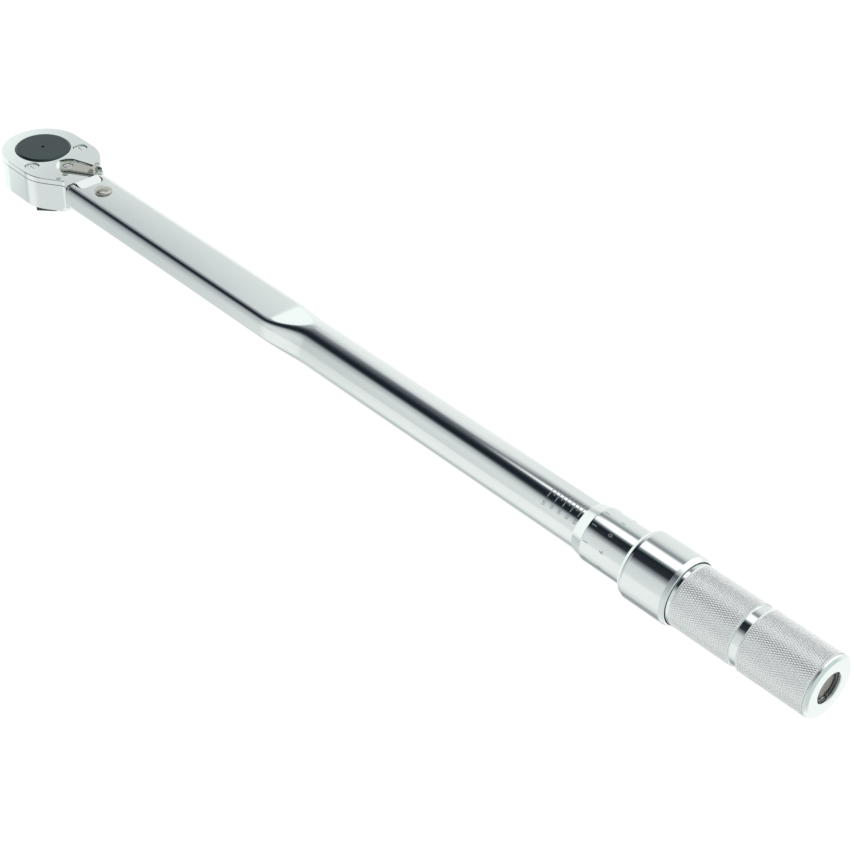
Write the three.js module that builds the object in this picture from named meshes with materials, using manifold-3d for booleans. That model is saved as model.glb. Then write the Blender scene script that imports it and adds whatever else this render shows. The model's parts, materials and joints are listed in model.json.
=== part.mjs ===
// Half-inch-drive click torque wrench with a reversible ratchet head.
//
// Millimetres, +Z up. The origin is the centre of the square drive's end face. The tube runs along +X
// towards the grip. Most pieces are drawn about the tube's axis (z = 0 there) in one group, which stands
// AXIS_HEIGHT above the drive's end face.

import * as THREE from 'three';
import { mergeVertices } from 'three/addons/utils/BufferGeometryUtils.js';
import Module from 'manifold-3d';

const wasm = await Module();
wasm.setup();

// ---- Driving dimensions ----

const AXIS_HEIGHT = 30.6;
const GAP = 0.3;
const BEYOND = 30;

const TUBE_RADIUS = 12.7;
const TUBE_WALL = 2;
const OVAL_HALF_WIDTH = 14.6;
const OVAL_HALF_HEIGHT = 7.5;
const OVAL_CORNER = 5;
const TUBE_FRONT = 43.8;
const OVAL_END = 225;
const ROUND_START = 258;
const TUBE_REAR = 548;
const SLIDING_FIT_RADIUS = TUBE_RADIUS - TUBE_WALL - GAP;
const NOTCH_HALF_WIDTH = 8.7;
const NOTCH_REAR = 52.3;
const NOTCH_CORNER = 4;

const HEAD_RADIUS = 24.9;
const HEAD_BOTTOM = -11.5;
const PLATE_BOTTOM = 6.8;
const HEAD_TOP = 10;
const SHOULDER_RADIUS = 24;
const SHOULDER_X = 16.88;
const TAPER_DEGREES = 35;
const NECK_HALF_WIDTH = 13.5;
const NECK_FILLET_RADIUS = 5;
const NECK_REAR = 43.2;
const PLATE_REAR = 45;
const RAMP_REAR = 51.4;
const RAMP_HALF_WIDTH = 7.8;
const RAMP_CORNER = 3.4;
const RAMP_TOP = 8.8;
const RAMP_TOE = 6.4;
const UNDERCUT_WALL = 39;
const COVER_SCREWS = [[14, 17.3], [14, -17.3]];
const COVER_SCREW_RADIUS = 1.5;
const COVER_SCREW_HEAD_RADIUS = 4.2;
const COVER_SCREW_HEAD_BOTTOM = 8.3;
const COVER_SCREW_HEAD_TOP = 9.2;
const DOWEL_RADIUS = 1;
const DOWEL_BOTTOM = 2.3;
const DOWELS = [[36.6, -13.9], [36.6, 13.9]];

const GEAR_TEETH = 36;
const GEAR_TIP_RADIUS = 18.2;
const GEAR_ROOT_RADIUS = 16.9;
const GEAR_BOTTOM = -6;
const CAVITY_RADIUS = 18.7;
const DISC_RADIUS = 16.5;
const DISC_FACE_RADIUS = 15.6;
const DISC_TOP = 11;
const DRIVE_SHOULDER_RADIUS = 10.9;
const DRIVE_SQUARE = 12.7;
const DRIVE_TURN_DEGREES = -135;
const DETENT_HEIGHT = -22.5;
const DETENT_BALL_RADIUS = 2.4;
const DETENT_PROUD = 0.8;
const DETENT_SEAT = 2.7;

const PIVOT_X = 62.2;
const PIVOT_PIN_RADIUS = 4;
const ARM_HALF_HEIGHT = 5;
const ARM_ROOT_HALF_WIDTH = 9;
const ARM_TAPER_START = 80;
const ARM_TAPER_END = 240;
const ARM_NOSE_HALF_WIDTH = 5;
const ARM_TIP = 259.2;
const ARM_TIP_HALF_SIZE = 4.2;

const LEVER_X = 26.3;
const LEVER_TOP = 9.3;
const RECESS_FLOOR = 7.8;
const RECESS_RADIUS = 7.3;
const RECESS_FLARE_DEGREES = 20;
const SHAFT_RADIUS = 3;
const SHAFT_BOTTOM = -4.2;
const SELECTOR_PLUNGER_RADIUS = 1.2;
const STOP_HOLE_AHEAD = 5.5;
const STOP_HOLE_ASIDE = 6.1;
const LEVER_REST_DEGREES = 30;
const PAWL_PIN_X = 20.8;
const PAWL_PIN_RADIUS = 1.2;
const PAWL_PIN_BOTTOM = -8.7;
const PAWL_HALF_HEIGHT = 5.5;
const PAWL_ROCK_DEGREES = 7.5;

const BLOCK_X = 262.5;
const BLOCK_HALF = 3;
const BLOCK_HALF_HEIGHT = 3.5;

const SCREW_RADIUS = 5;
const NUT_FRONT = 484;
const NUT_REAR = 498;
const NUT_PIN_X = 491;
const NUT_PIN_RADIUS = 1.6;
const SPRING_FRONT = 286.7;
const SPRING_REAR = 398.3;
const SPRING_GUIDE_RADIUS = 5.8;
const SPRING_GUIDE_LENGTH = 8;
const SLIDER_RADIUS = 10.2;
const SEAT_REAR = 402.6;
const THRUST_BALL_X = 404.2;
const THRUST_BALL_RADIUS = 2.3;
const SCREW_FRONT = 406.8;
const SCREW_REAR = 592.3;

const THIMBLE_FRONT = 457;
const THIMBLE_RADIUS = 14.6;
const THIMBLE_BORE = 13;
const THIMBLE_REAR = 523.7;
const SLEEVE_FRONT = 490;
const SLEEVE_REAR = 519;
const SLEEVE_RADIUS = 18.3;
const SLEEVE_BORE = 16.8;
const LOCK_BALL_X = 499.5;
const LOCK_BALL_RADIUS = 1.4;
const LOCK_BALL_CENTRE = 14.2;
const GRIP_FRONT = 516;
const GRIP_REAR = 600;
const GRIP_RADIUS = 16.5;
const GRIP_BORE = 13.1;
const GRIP_HUB_FRONT = 577;
const GRIP_HUB_REAR = 585;
const SLEEVE_SEAT_BORE = 14.9;
const SPRING_SHOULDER_X = 501;
const END_BORE_RADIUS = 8.1;

// ---- Materials ----

function metal(color, roughness, metalness = 1) {
  return new THREE.MeshStandardMaterial({ color, roughness, metalness });
}

const chrome = metal(0xc9d6d2, 0.12);
const satinChrome = metal(0xc4cbc9, 0.35);
const blackOxide = metal(0x2c3636, 0.4);
const nickel = metal(0xb9b3a2, 0.3);
const steel = metal(0x8d9192, 0.4);
const springSteel = metal(0x55585a, 0.45);
const bronze = metal(0xa07a45, 0.45);
const plugGrey = metal(0x9a938b, 0.6, 0.4);

// ---- Shape helpers ----

function radians(degrees) {
  return degrees * Math.PI / 180;
}

// A closed manifold-3d solid from a three.js geometry.
function solid(geometry) {
  const bare = geometry.clone();
  bare.deleteAttribute('normal');
  bare.deleteAttribute('uv');
  const merged = mergeVertices(bare, 1e-4);
  const index = merged.index.array;
  const corners = [];
  for (let i = 0; i < index.length; i += 3) {
    const [a, b, c] = [index[i], index[i + 1], index[i + 2]];
    if (a !== b && b !== c && c !== a) {
      corners.push(a, b, c);
    }
  }
  return new wasm.Manifold(new wasm.Mesh({
    numProp: 3,
    vertProperties: new Float32Array(merged.attributes.position.array),
    triVerts: new Uint32Array(corners),
  }));
}

function geometryOf(body) {
  const mesh = body.getMesh();
  const geometry = new THREE.BufferGeometry();
  geometry.setAttribute('position', new THREE.BufferAttribute(mesh.vertProperties, 3));
  geometry.setIndex(new THREE.BufferAttribute(mesh.triVerts, 1));
  geometry.computeVertexNormals();
  return geometry;
}

function joined(...bodies) {
  return bodies.reduce((sum, body) => sum.add(body));
}

function cut(body, ...tools) {
  return tools.reduce((rest, tool) => rest.subtract(tool), body);
}

// A solid of revolution. The profile is a closed loop of [distance along the axis, radius].
function turned(axis, profile, sides = 40) {
  const loop = profile.map(([along, radius]) => new THREE.Vector2(radius, along));
  if (THREE.ShapeUtils.area(loop) < 0) {
    loop.reverse();
  }
  const geometry = new THREE.LatheGeometry([...loop, loop[0]], sides);
  if (axis === 'x') {
    geometry.rotateZ(-Math.PI / 2);
  } else if (axis === 'z') {
    geometry.rotateX(Math.PI / 2);
  }
  return solid(geometry);
}

// A plain round bar along one axis; first and second place it on the other two, in X, Y, Z order.
function rod(axis, radius, from, to, first = 0, second = 0, sides = 24) {
  const bar = turned(axis, [[from, 0], [from, radius], [to, radius], [to, 0]], sides);
  const place = { x: [0, first, second], y: [first, 0, second], z: [first, second, 0] };
  return bar.translate(place[axis]);
}

// A ring with a round bore, along X.
function ring(from, to, outer, inner, sides = 40) {
  return turned('x', [[from, inner], [from, outer], [to, outer], [to, inner]], sides);
}

// An outline in plan, extruded from one height to another.
function slab(points, from, to) {
  const shape = new THREE.Shape(points.map(([x, y]) => new THREE.Vector2(x, y)));
  const geometry = new THREE.ExtrudeGeometry(shape, { depth: to - from, bevelEnabled: false });
  geometry.translate(0, 0, from);
  return solid(geometry);
}

// A side profile of [x, z] points, extruded equally to both sides of the XZ plane.
function sideProfile(points, halfWidth) {
  const shape = new THREE.Shape(points.map(([x, z]) => new THREE.Vector2(x, z)));
  const geometry = new THREE.ExtrudeGeometry(shape, { depth: 2 * halfWidth, bevelEnabled: false });
  geometry.rotateX(Math.PI / 2);
  geometry.translate(0, halfWidth, 0);
  return solid(geometry);
}

function block(low, high) {
  const geometry = new THREE.BoxGeometry(high[0] - low[0], high[1] - low[1], high[2] - low[2]);
  geometry.translate((low[0] + high[0]) / 2, (low[1] + high[1]) / 2, (low[2] + high[2]) / 2);
  return solid(geometry);
}

function ball(radius, x, y, z) {
  const geometry = new THREE.SphereGeometry(radius, 10, 7);
  geometry.translate(x, y, z);
  return solid(geometry);
}

function arc(x, y, radius, fromDegrees, toDegrees, steps) {
  const points = [];
  for (let i = 0; i <= steps; i += 1) {
    const angle = radians(fromDegrees + (toDegrees - fromDegrees) * i / steps);
    points.push([x + radius * Math.cos(angle), y + radius * Math.sin(angle)]);
  }
  return points;
}

function mirrored(points) {
  return points.map(([x, y]) => [x, -y]).reverse();
}

class Helix extends THREE.Curve {
  constructor(radius, length, turns) {
    super();
    Object.assign(this, { radius, length, turns });
  }

  getPoint(t, target = new THREE.Vector3()) {
    const angle = 2 * Math.PI * this.turns * t;
    return target.set(this.length * t, this.radius * Math.cos(angle), this.radius * Math.sin(angle));
  }
}

// A coil spring along X between two faces, GAP clear of each.
function coil(from, to, radius, wire, turns, stepsPerTurn, sides = 6) {
  const start = from + GAP + wire;
  const helix = new Helix(radius, to - GAP - wire - start, turns);
  const section = new THREE.Shape(arc(0, 0, wire, 0, 360 - 360 / sides, sides - 1)
    .map(([x, y]) => new THREE.Vector2(x, y)));
  const steps = Math.round(turns * stepsPerTurn);
  const geometry = new THREE.ExtrudeGeometry(section, { steps, extrudePath: helix, bevelEnabled: false });
  geometry.translate(start, 0, 0);
  return solid(geometry);
}

// ---- Scene graph ----

const wrench = new THREE.Group();
const aboutTubeAxis = new THREE.Group();
aboutTubeAxis.position.z = AXIS_HEIGHT;
wrench.add(aboutTubeAxis);

function addPart(name, body, material, parent = aboutTubeAxis) {
  const mesh = new THREE.Mesh(geometryOf(body), material);
  mesh.name = name;
  parent.add(mesh);
  return mesh;
}

// ---- Tube: a rounded rectangle in front, blending to a round tube of the same girth ----

function tubeSection(x, blend, inset) {
  const cornerY = (OVAL_HALF_WIDTH - OVAL_CORNER) * (1 - blend);
  const cornerZ = (OVAL_HALF_HEIGHT - OVAL_CORNER) * (1 - blend);
  const radius = OVAL_CORNER + (TUBE_RADIUS - OVAL_CORNER) * blend - inset;
  const cornerSteps = 7;
  const edgeDegrees = 2;
  const section = [];
  for (let quadrant = 0; quadrant < 4; quadrant += 1) {
    const signY = quadrant === 0 || quadrant === 3 ? 1 : -1;
    const signZ = quadrant < 2 ? 1 : -1;
    for (let i = 0; i <= cornerSteps; i += 1) {
      const sweep = edgeDegrees + (90 - 2 * edgeDegrees) * i / cornerSteps;
      const angle = radians(90 * quadrant + sweep);
      section.push([x, signY * cornerY + radius * Math.cos(angle),
        signZ * cornerZ + radius * Math.sin(angle)]);
    }
  }
  return section;
}

function smoothStep(t) {
  return t * t * (3 - 2 * t);
}

function tubeStations() {
  const blendSteps = 6;
  const stations = [[TUBE_FRONT, 0]];
  for (let i = 0; i <= blendSteps; i += 1) {
    const t = i / blendSteps;
    stations.push([OVAL_END + (ROUND_START - OVAL_END) * t, smoothStep(t)]);
  }
  stations.push([TUBE_REAR, 1]);
  return stations;
}

// Skins a closed chain of sections: out along the outside, back along the bore.
function skin(sections) {
  const count = sections[0].length;
  const index = [];
  sections.forEach((_, s) => {
    const next = (s + 1) % sections.length;
    for (let i = 0; i < count; i += 1) {
      const j = (i + 1) % count;
      index.push(s * count + i, s * count + j, next * count + j);
      index.push(s * count + i, next * count + j, next * count + i);
    }
  });
  const geometry = new THREE.BufferGeometry();
  geometry.setAttribute('position', new THREE.Float32BufferAttribute(sections.flat(2), 3));
  geometry.setIndex(index);
  return solid(geometry);
}

// The top wall is cut back over the head's ramp, with round corners in plan.
function topNotch() {
  const inner = NOTCH_REAR - NOTCH_CORNER;
  const side = NOTCH_HALF_WIDTH - NOTCH_CORNER;
  const ahead = TUBE_FRONT - BEYOND;
  const rightSide = [
    [ahead, -NOTCH_HALF_WIDTH],
    ...arc(inner, -side, NOTCH_CORNER, -90, 0, 4),
  ];
  return slab([...rightSide, ...mirrored(rightSide)], 0, BEYOND);
}

function makeTube() {
  const stations = tubeStations();
  const outside = stations.map(([x, blend]) => tubeSection(x, blend, 0));
  const inside = stations.map(([x, blend]) => tubeSection(x, blend, TUBE_WALL)).reverse();
  const pinHole = rod('z', PIVOT_PIN_RADIUS + GAP, -BEYOND, BEYOND, PIVOT_X);
  const nutPinHole = rod('y', NUT_PIN_RADIUS + GAP, -BEYOND, BEYOND, NUT_PIN_X, 0, 12);
  return cut(skin([...outside, ...inside]), pinHole, nutPinHole, topNotch());
}

function makePivotPin() {
  const headRadius = 5.2;
  const headFace = OVAL_HALF_HEIGHT + GAP;
  const rim = 0.7;
  const domeHeight = 1.3;
  const dome = [[headFace, headRadius]];
  arc(0, 0, 1, 0, 90, 3).forEach(([out, up]) => {
    dome.push([headFace + rim + domeHeight * up, headRadius * out]);
  });
  const underside = dome.map(([z, radius]) => [-z, radius]).reverse();
  const shank = [[-headFace, PIVOT_PIN_RADIUS], [headFace, PIVOT_PIN_RADIUS]];
  return turned('z', [...underside, ...shank, ...dome], 20).translate([PIVOT_X, 0, 0]);
}

function makeLeadNut() {
  const nut = ring(NUT_FRONT, NUT_REAR, SLIDING_FIT_RADIUS, SCREW_RADIUS + GAP, 28);
  return cut(nut, rod('y', NUT_PIN_RADIUS + GAP, -BEYOND, BEYOND, NUT_PIN_X, 0, 12));
}

// ---- Head ----

// The plan outline, drawn round from the neck's right rear corner to its left one.
function headOutline(rear) {
  const normal = 90 - TAPER_DEGREES;
  const slope = radians(TAPER_DEGREES);
  const across = NECK_HALF_WIDTH + NECK_FILLET_RADIUS - (HEAD_RADIUS - SHOULDER_RADIUS);
  const filletX = SHOULDER_X
    + (SHOULDER_RADIUS + NECK_FILLET_RADIUS - across * Math.cos(slope)) / Math.sin(slope);
  const rightSide = [
    ...arc(0, 0, HEAD_RADIUS, -180, -90, 18),
    ...arc(SHOULDER_X, SHOULDER_RADIUS - HEAD_RADIUS, SHOULDER_RADIUS, -90, -normal, 5),
    ...arc(filletX, -NECK_HALF_WIDTH - NECK_FILLET_RADIUS, NECK_FILLET_RADIUS,
      180 - normal, 90, 4),
    [rear, -NECK_HALF_WIDTH],
  ];
  return [...rightSide, ...mirrored(rightSide).slice(0, -1)];
}

// Clears the thick part of the head away from under the neck, with a round corner.
function neckUndercut() {
  const radius = -HEAD_BOTTOM - OVAL_HALF_HEIGHT;
  const corner = arc(UNDERCUT_WALL + radius, HEAD_BOTTOM, radius, 180, 90, 5);
  const rear = NECK_REAR + BEYOND;
  return sideProfile([...corner, [rear, -OVAL_HALF_HEIGHT], [rear, -BEYOND], [UNDERCUT_WALL, -BEYOND]],
    BEYOND);
}

// The long arm that swings inside the tube and ends against the tilt block.
function makeArm() {
  const side = [
    [UNDERCUT_WALL, -ARM_ROOT_HALF_WIDTH],
    [ARM_TAPER_START, -ARM_ROOT_HALF_WIDTH],
    [ARM_TAPER_END, -ARM_NOSE_HALF_WIDTH],
    [ARM_TIP, -ARM_TIP_HALF_SIZE],
  ];
  const arm = slab([...side, ...mirrored(side)], -ARM_HALF_HEIGHT, ARM_HALF_HEIGHT);
  const tipTaper = [[ARM_TAPER_END, ARM_HALF_HEIGHT], [ARM_TIP, ARM_TIP_HALF_SIZE],
    [ARM_TIP, BEYOND], [ARM_TAPER_END, BEYOND]];
  const topTaper = sideProfile(tipTaper, BEYOND);
  const bottomTaper = sideProfile(tipTaper.map(([x, z]) => [x, -z]), BEYOND);
  return cut(arm, topTaper, bottomTaper);
}

// The ramp behind the plate's rear edge, on a round-cornered tongue that stands in the tube's notch.
function makeRamp(bodyTop) {
  const root = UNDERCUT_WALL;
  const front = PLATE_REAR + GAP;
  const inner = RAMP_REAR - RAMP_CORNER;
  const side = RAMP_HALF_WIDTH - RAMP_CORNER;
  const rightSide = [[root, -RAMP_HALF_WIDTH], ...arc(inner, -side, RAMP_CORNER, -90, 0, 4)];
  const tongue = slab([...rightSide, ...mirrored(rightSide)], 0, BEYOND);
  const profile = [[root, bodyTop], [front, bodyTop], [front, RAMP_TOP], [RAMP_REAR, RAMP_TOE],
    [RAMP_REAR, 0], [root, 0]];
  return tongue.intersect(sideProfile(profile, BEYOND));
}

function makeHeadBody() {
  const bodyTop = PLATE_BOTTOM - GAP;
  const forging = joined(
    cut(slab(headOutline(NECK_REAR), HEAD_BOTTOM, bodyTop), neckUndercut()),
    makeArm(),
    makeRamp(bodyTop),
  );
  const pocketFront = 12;
  const pocketRear = LEVER_X - 1;
  const pocketHalfWidth = 14.7;
  const bushHoleRadius = 12.7;
  const screwHoleBottom = -1;
  const screwHoles = COVER_SCREWS.map(([x, y]) => {
    return rod('z', COVER_SCREW_RADIUS + GAP, screwHoleBottom, BEYOND, x, y, 12);
  });
  const dowelHoles = DOWELS.map(([x, y]) => {
    return rod('z', DOWEL_RADIUS + GAP, DOWEL_BOTTOM - GAP, BEYOND, x, y, 12);
  });
  return cut(
    forging,
    rod('z', CAVITY_RADIUS, GEAR_BOTTOM - GAP, BEYOND, 0, 0, 40),
    rod('z', bushHoleRadius, -BEYOND, 0, 0, 0, 32),
    block([pocketFront, -pocketHalfWidth, GEAR_BOTTOM - GAP], [pocketRear, pocketHalfWidth, BEYOND]),
    rod('z', SHAFT_RADIUS + GAP, SHAFT_BOTTOM - GAP, BEYOND, LEVER_X, 0, 20),
    rod('z', PAWL_PIN_RADIUS + GAP, PAWL_PIN_BOTTOM - GAP, 0, PAWL_PIN_X, 0, 12),
    rod('z', PIVOT_PIN_RADIUS + GAP, -BEYOND, BEYOND, PIVOT_X),
    ...screwHoles,
    ...dowelHoles,
  );
}

// The lever's recess: round at its hub, and flaring out through the plate's rear edge.
function leverRecess() {
  const flare = radians(RECESS_FLARE_DEGREES);
  const rear = PLATE_REAR + BEYOND;
  const startX = LEVER_X - RECESS_RADIUS * Math.sin(flare);
  const startY = RECESS_RADIUS * Math.cos(flare);
  const rearY = startY + (rear - startX) * Math.tan(flare);
  const fan = slab([[startX, -startY], [rear, -rearY], [rear, rearY], [startX, startY]],
    RECESS_FLOOR, BEYOND);
  return joined(rod('z', RECESS_RADIUS, RECESS_FLOOR, BEYOND, LEVER_X, 0, 36), fan);
}

// The plate's rear edge stands over the tube's front end on each side of the ramp.
function plateOverhang(side) {
  const top = OVAL_HALF_HEIGHT + GAP;
  const [low, high] = side > 0 ? [RAMP_HALF_WIDTH, BEYOND] : [-BEYOND, -RAMP_HALF_WIDTH];
  return block([NECK_REAR, low, 0], [PLATE_REAR + BEYOND, high, top]);
}

function makeCoverPlate() {
  const stopHoleRadius = 1.6;
  const stopHoleX = LEVER_X + STOP_HOLE_AHEAD;
  const screwHoles = COVER_SCREWS.flatMap(([x, y]) => [
    rod('z', COVER_SCREW_RADIUS + GAP, 0, BEYOND, x, y, 12),
    rod('z', COVER_SCREW_HEAD_RADIUS + GAP, COVER_SCREW_HEAD_BOTTOM - GAP, BEYOND, x, y, 24),
  ]);
  const dowelHoles = DOWELS.map(([x, y]) => rod('z', DOWEL_RADIUS + GAP, 0, BEYOND, x, y, 12));
  const stopHoles = [-STOP_HOLE_ASIDE, STOP_HOLE_ASIDE]
    .map((y) => rod('z', stopHoleRadius, 0, BEYOND, stopHoleX, y, 16));
  return cut(
    slab(headOutline(PLATE_REAR), PLATE_BOTTOM, HEAD_TOP),
    plateOverhang(1),
    plateOverhang(-1),
    rod('z', DISC_RADIUS + GAP, 0, BEYOND, 0, 0, 48),
    leverRecess(),
    rod('z', SHAFT_RADIUS + GAP, 0, BEYOND, LEVER_X, 0, 20),
    ...screwHoles,
    ...dowelHoles,
    ...stopHoles,
  );
}

function makeCoverScrew(x, y) {
  const slotHalfWidth = 0.4;
  const slotDepth = 0.6;
  const slotHalfLength = 2.5;
  const profile = [
    [0, 0],
    [0, COVER_SCREW_RADIUS],
    [COVER_SCREW_HEAD_BOTTOM, COVER_SCREW_RADIUS],
    [COVER_SCREW_HEAD_BOTTOM, COVER_SCREW_HEAD_RADIUS],
    [COVER_SCREW_HEAD_TOP, COVER_SCREW_HEAD_RADIUS],
    [COVER_SCREW_HEAD_TOP, 0],
  ];
  const slot = block([-slotHalfLength, -slotHalfWidth, COVER_SCREW_HEAD_TOP - slotDepth],
    [slotHalfLength, slotHalfWidth, BEYOND]);
  return cut(turned('z', profile, 24), slot).translate([x, y, 0]);
}

// ---- Drive ----

function gearOutline() {
  const points = [];
  const pitch = 360 / GEAR_TEETH;
  const rootShare = 0.42;
  const tipShare = 0.1;
  const corners = [[-rootShare, GEAR_ROOT_RADIUS], [-tipShare, GEAR_TIP_RADIUS],
    [tipShare, GEAR_TIP_RADIUS], [rootShare, GEAR_ROOT_RADIUS]];
  for (let tooth = 0; tooth < GEAR_TEETH; tooth += 1) {
    for (const [share, radius] of corners) {
      const angle = radians(pitch * (tooth + share));
      points.push([radius * Math.cos(angle), radius * Math.sin(angle)]);
    }
  }
  return points;
}

function chamferedSquare(half, corner) {
  const inner = half - corner;
  return [[half, -inner], [half, inner], [inner, half], [-inner, half],
    [-half, inner], [-half, -inner], [-inner, -half], [inner, -half]];
}

function makeDriveGear() {
  const gearTop = PLATE_BOTTOM - 2 * GAP;
  const shoulderBottom = HEAD_BOTTOM - 2;
  const discEdge = DISC_TOP - 0.7;
  const half = DRIVE_SQUARE / 2;
  const corner = 0.5;
  const tipChamfer = 0.5;
  const reach = half * Math.SQRT2 - corner / Math.SQRT2;
  const disc = turned('z', [[0, 0], [0, DISC_RADIUS], [discEdge, DISC_RADIUS],
    [DISC_TOP, DISC_FACE_RADIUS], [DISC_TOP, 0]], 48);
  const shoulder = rod('z', DRIVE_SHOULDER_RADIUS, shoulderBottom, GEAR_BOTTOM + 1, 0, 0, 32);
  const square = slab(chamferedSquare(half, corner), -AXIS_HEIGHT, GEAR_BOTTOM);
  const tipCone = turned('z', [[-AXIS_HEIGHT, 0], [-AXIS_HEIGHT, reach - tipChamfer],
    [-AXIS_HEIGHT + tipChamfer, reach], [-AXIS_HEIGHT + tipChamfer, reach + 1],
    [GEAR_BOTTOM, reach + 1], [GEAR_BOTTOM, 0]], 32);
  const detentHole = rod('y', DETENT_BALL_RADIUS + GAP, -BEYOND, DETENT_SEAT + GAP, 0, DETENT_HEIGHT, 16);
  const markRadius = 1.2;
  const centreMark = rod('z', markRadius, DISC_TOP - 2, BEYOND, 0, 0, 16);
  const drive = cut(square.intersect(tipCone), detentHole).rotate([0, 0, DRIVE_TURN_DEGREES]);
  return cut(joined(slab(gearOutline(), GEAR_BOTTOM, gearTop), disc, shoulder, drive), centreMark);
}

function makeDriveBush() {
  const bore = DRIVE_SHOULDER_RADIUS + GAP;
  const outer = 12.4;
  const bottom = HEAD_BOTTOM + 0.2;
  const top = GEAR_BOTTOM - GAP;
  return turned('z', [[bottom, bore], [bottom, outer], [top, outer], [top, bore]], 24);
}

const DETENT_BALL_Y = -(DRIVE_SQUARE / 2 + DETENT_PROUD - DETENT_BALL_RADIUS);

// The spring stands clear of its seat by the ball's stroke.
function makeDetentSpring() {
  const seat = DETENT_SEAT - DETENT_PROUD;
  const length = seat - (DETENT_BALL_Y + DETENT_BALL_RADIUS);
  return coil(0, length, 1.6, 0.35, 3, 8, 5)
    .rotate([0, 0, -90])
    .translate([0, seat, DETENT_HEIGHT]);
}

// ---- Reversing lever and pawl ----

function makeLever() {
  const hubRadius = 5;
  const holeRadius = 3.1;
  const rootX = 2.6;
  const rootHalf = 4.2;
  const tipHalf = 3.3;
  const tip = 18;
  const corner = 1;
  const tabFoot = 13.8;
  const tabCrest = 16.2;
  const tabTop = LEVER_TOP + 2.7;
  const tabHalf = 3;
  const underside = RECESS_FLOOR + GAP;
  const leftSide = [[tip, tipHalf - corner], [tip - corner, tipHalf], [rootX, rootHalf]];
  const outline = [...leftSide, ...arc(0, 0, hubRadius, 75, 285, 14), ...mirrored(leftSide)];
  const tab = sideProfile([[tabFoot, underside], [tabFoot, LEVER_TOP], [tabCrest, tabTop],
    [tip, tabTop], [tip, underside]], tabHalf);
  return cut(joined(slab(outline, underside, LEVER_TOP), tab), rod('z', holeRadius, 0, BEYOND, 0, 0, 20));
}

function makeSelectorShaft() {
  const neckRadius = 2.8;
  const neckFoot = PLATE_BOTTOM - GAP;
  const rimHeight = LEVER_TOP - 0.5;
  const domeTop = LEVER_TOP + 0.2;
  const profile = [[SHAFT_BOTTOM, 0], [SHAFT_BOTTOM, SHAFT_RADIUS], [neckFoot, SHAFT_RADIUS],
    [neckFoot, neckRadius], [rimHeight, neckRadius], [LEVER_TOP, 1.8], [domeTop, 0]];
  const plungerHoleEnd = 1.8;
  return cut(turned('z', profile, 20),
    rod('x', SELECTOR_PLUNGER_RADIUS + GAP, -BEYOND, plungerHoleEnd, 0, 0, 12));
}

// The pawl is drawn in mesh at its right end. Its inside is relieved for the gear's rim in both its
// engaged positions.
function makePawl() {
  const outer = 22.5;
  const inner = 18;
  const reach = 37.5;
  const hubRadius = 2.2;
  const half = PAWL_HALF_HEIGHT;
  const crescent = slab([...arc(0, 0, outer, -reach, reach, 12), ...arc(0, 0, inner, reach, -reach, 12)],
    -half, half);
  const hub = rod('z', hubRadius, -half, half, PAWL_PIN_X, 0, 16);
  const rim = rod('z', GEAR_TIP_RADIUS + GAP, -BEYOND, BEYOND, 0, 0, 48);
  const leftTurn = -2 * PAWL_ROCK_DEGREES;
  const engaged = cut(turnedAboutPin(joined(crescent, hub), -PAWL_ROCK_DEGREES), rim,
    turnedAboutPin(rim, leftTurn));
  const rightTeeth = [-25, -35].map(pawlTooth);
  const leftTeeth = [25, 35].map((degrees) => turnedAboutPin(pawlTooth(degrees), leftTurn));
  const pinHole = rod('z', PAWL_PIN_RADIUS + GAP, -BEYOND, BEYOND, PAWL_PIN_X, 0, 12);
  return cut(joined(engaged, ...rightTeeth, ...leftTeeth), pinHole);
}

function turnedAboutPin(body, degrees) {
  return body.translate([-PAWL_PIN_X, 0, 0]).rotate([0, 0, degrees]).translate([PAWL_PIN_X, 0, 0]);
}

// One pawl tooth standing in a tooth space of the gear, at an angle round the gear's axis.
function pawlTooth(degrees) {
  const point = GEAR_ROOT_RADIUS + GAP;
  const back = GEAR_TIP_RADIUS + 1.6;
  const pointHalf = 0.15;
  const backHalf = 1.15;
  return slab([[point, -pointHalf], [back, -backHalf], [back, backHalf], [point, pointHalf]],
    -PAWL_HALF_HEIGHT, PAWL_HALF_HEIGHT).rotate([0, 0, degrees]);
}

// ---- Click mechanism ----

function makePlunger() {
  const front = BLOCK_X + 1.5;
  const rear = SPRING_FRONT;
  const radius = SLIDER_RADIUS;
  const guide = SPRING_GUIDE_RADIUS;
  const guideEnd = rear + SPRING_GUIDE_LENGTH;
  const body = turned('x', [[front, 0], [front, radius - 1], [front + 1, radius], [rear, radius],
    [rear, guide], [guideEnd, guide], [guideEnd, 0]], 24);
  const blockSwing = 4.6;
  const pocketHalfHeight = 5;
  return cut(body, rod('z', blockSwing, -pocketHalfHeight, pocketHalfHeight, BLOCK_X, 0, 24));
}

function makeSpringSeat() {
  const guideEnd = SPRING_REAR - SPRING_GUIDE_LENGTH;
  const dimpleDepth = 1.7;
  const dimpleRadius = 3;
  const dimple = turned('x', [[SEAT_REAR - dimpleDepth, 0], [SEAT_REAR, dimpleRadius],
    [SEAT_REAR + 1, dimpleRadius], [SEAT_REAR + 1, 0]], 16);
  const body = turned('x', [[guideEnd, 0], [guideEnd, SPRING_GUIDE_RADIUS],
    [SPRING_REAR, SPRING_GUIDE_RADIUS], [SPRING_REAR, SLIDER_RADIUS],
    [SEAT_REAR, SLIDER_RADIUS], [SEAT_REAR, 0]], 24);
  return cut(body, dimple);
}

// ---- Handle ----

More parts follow.
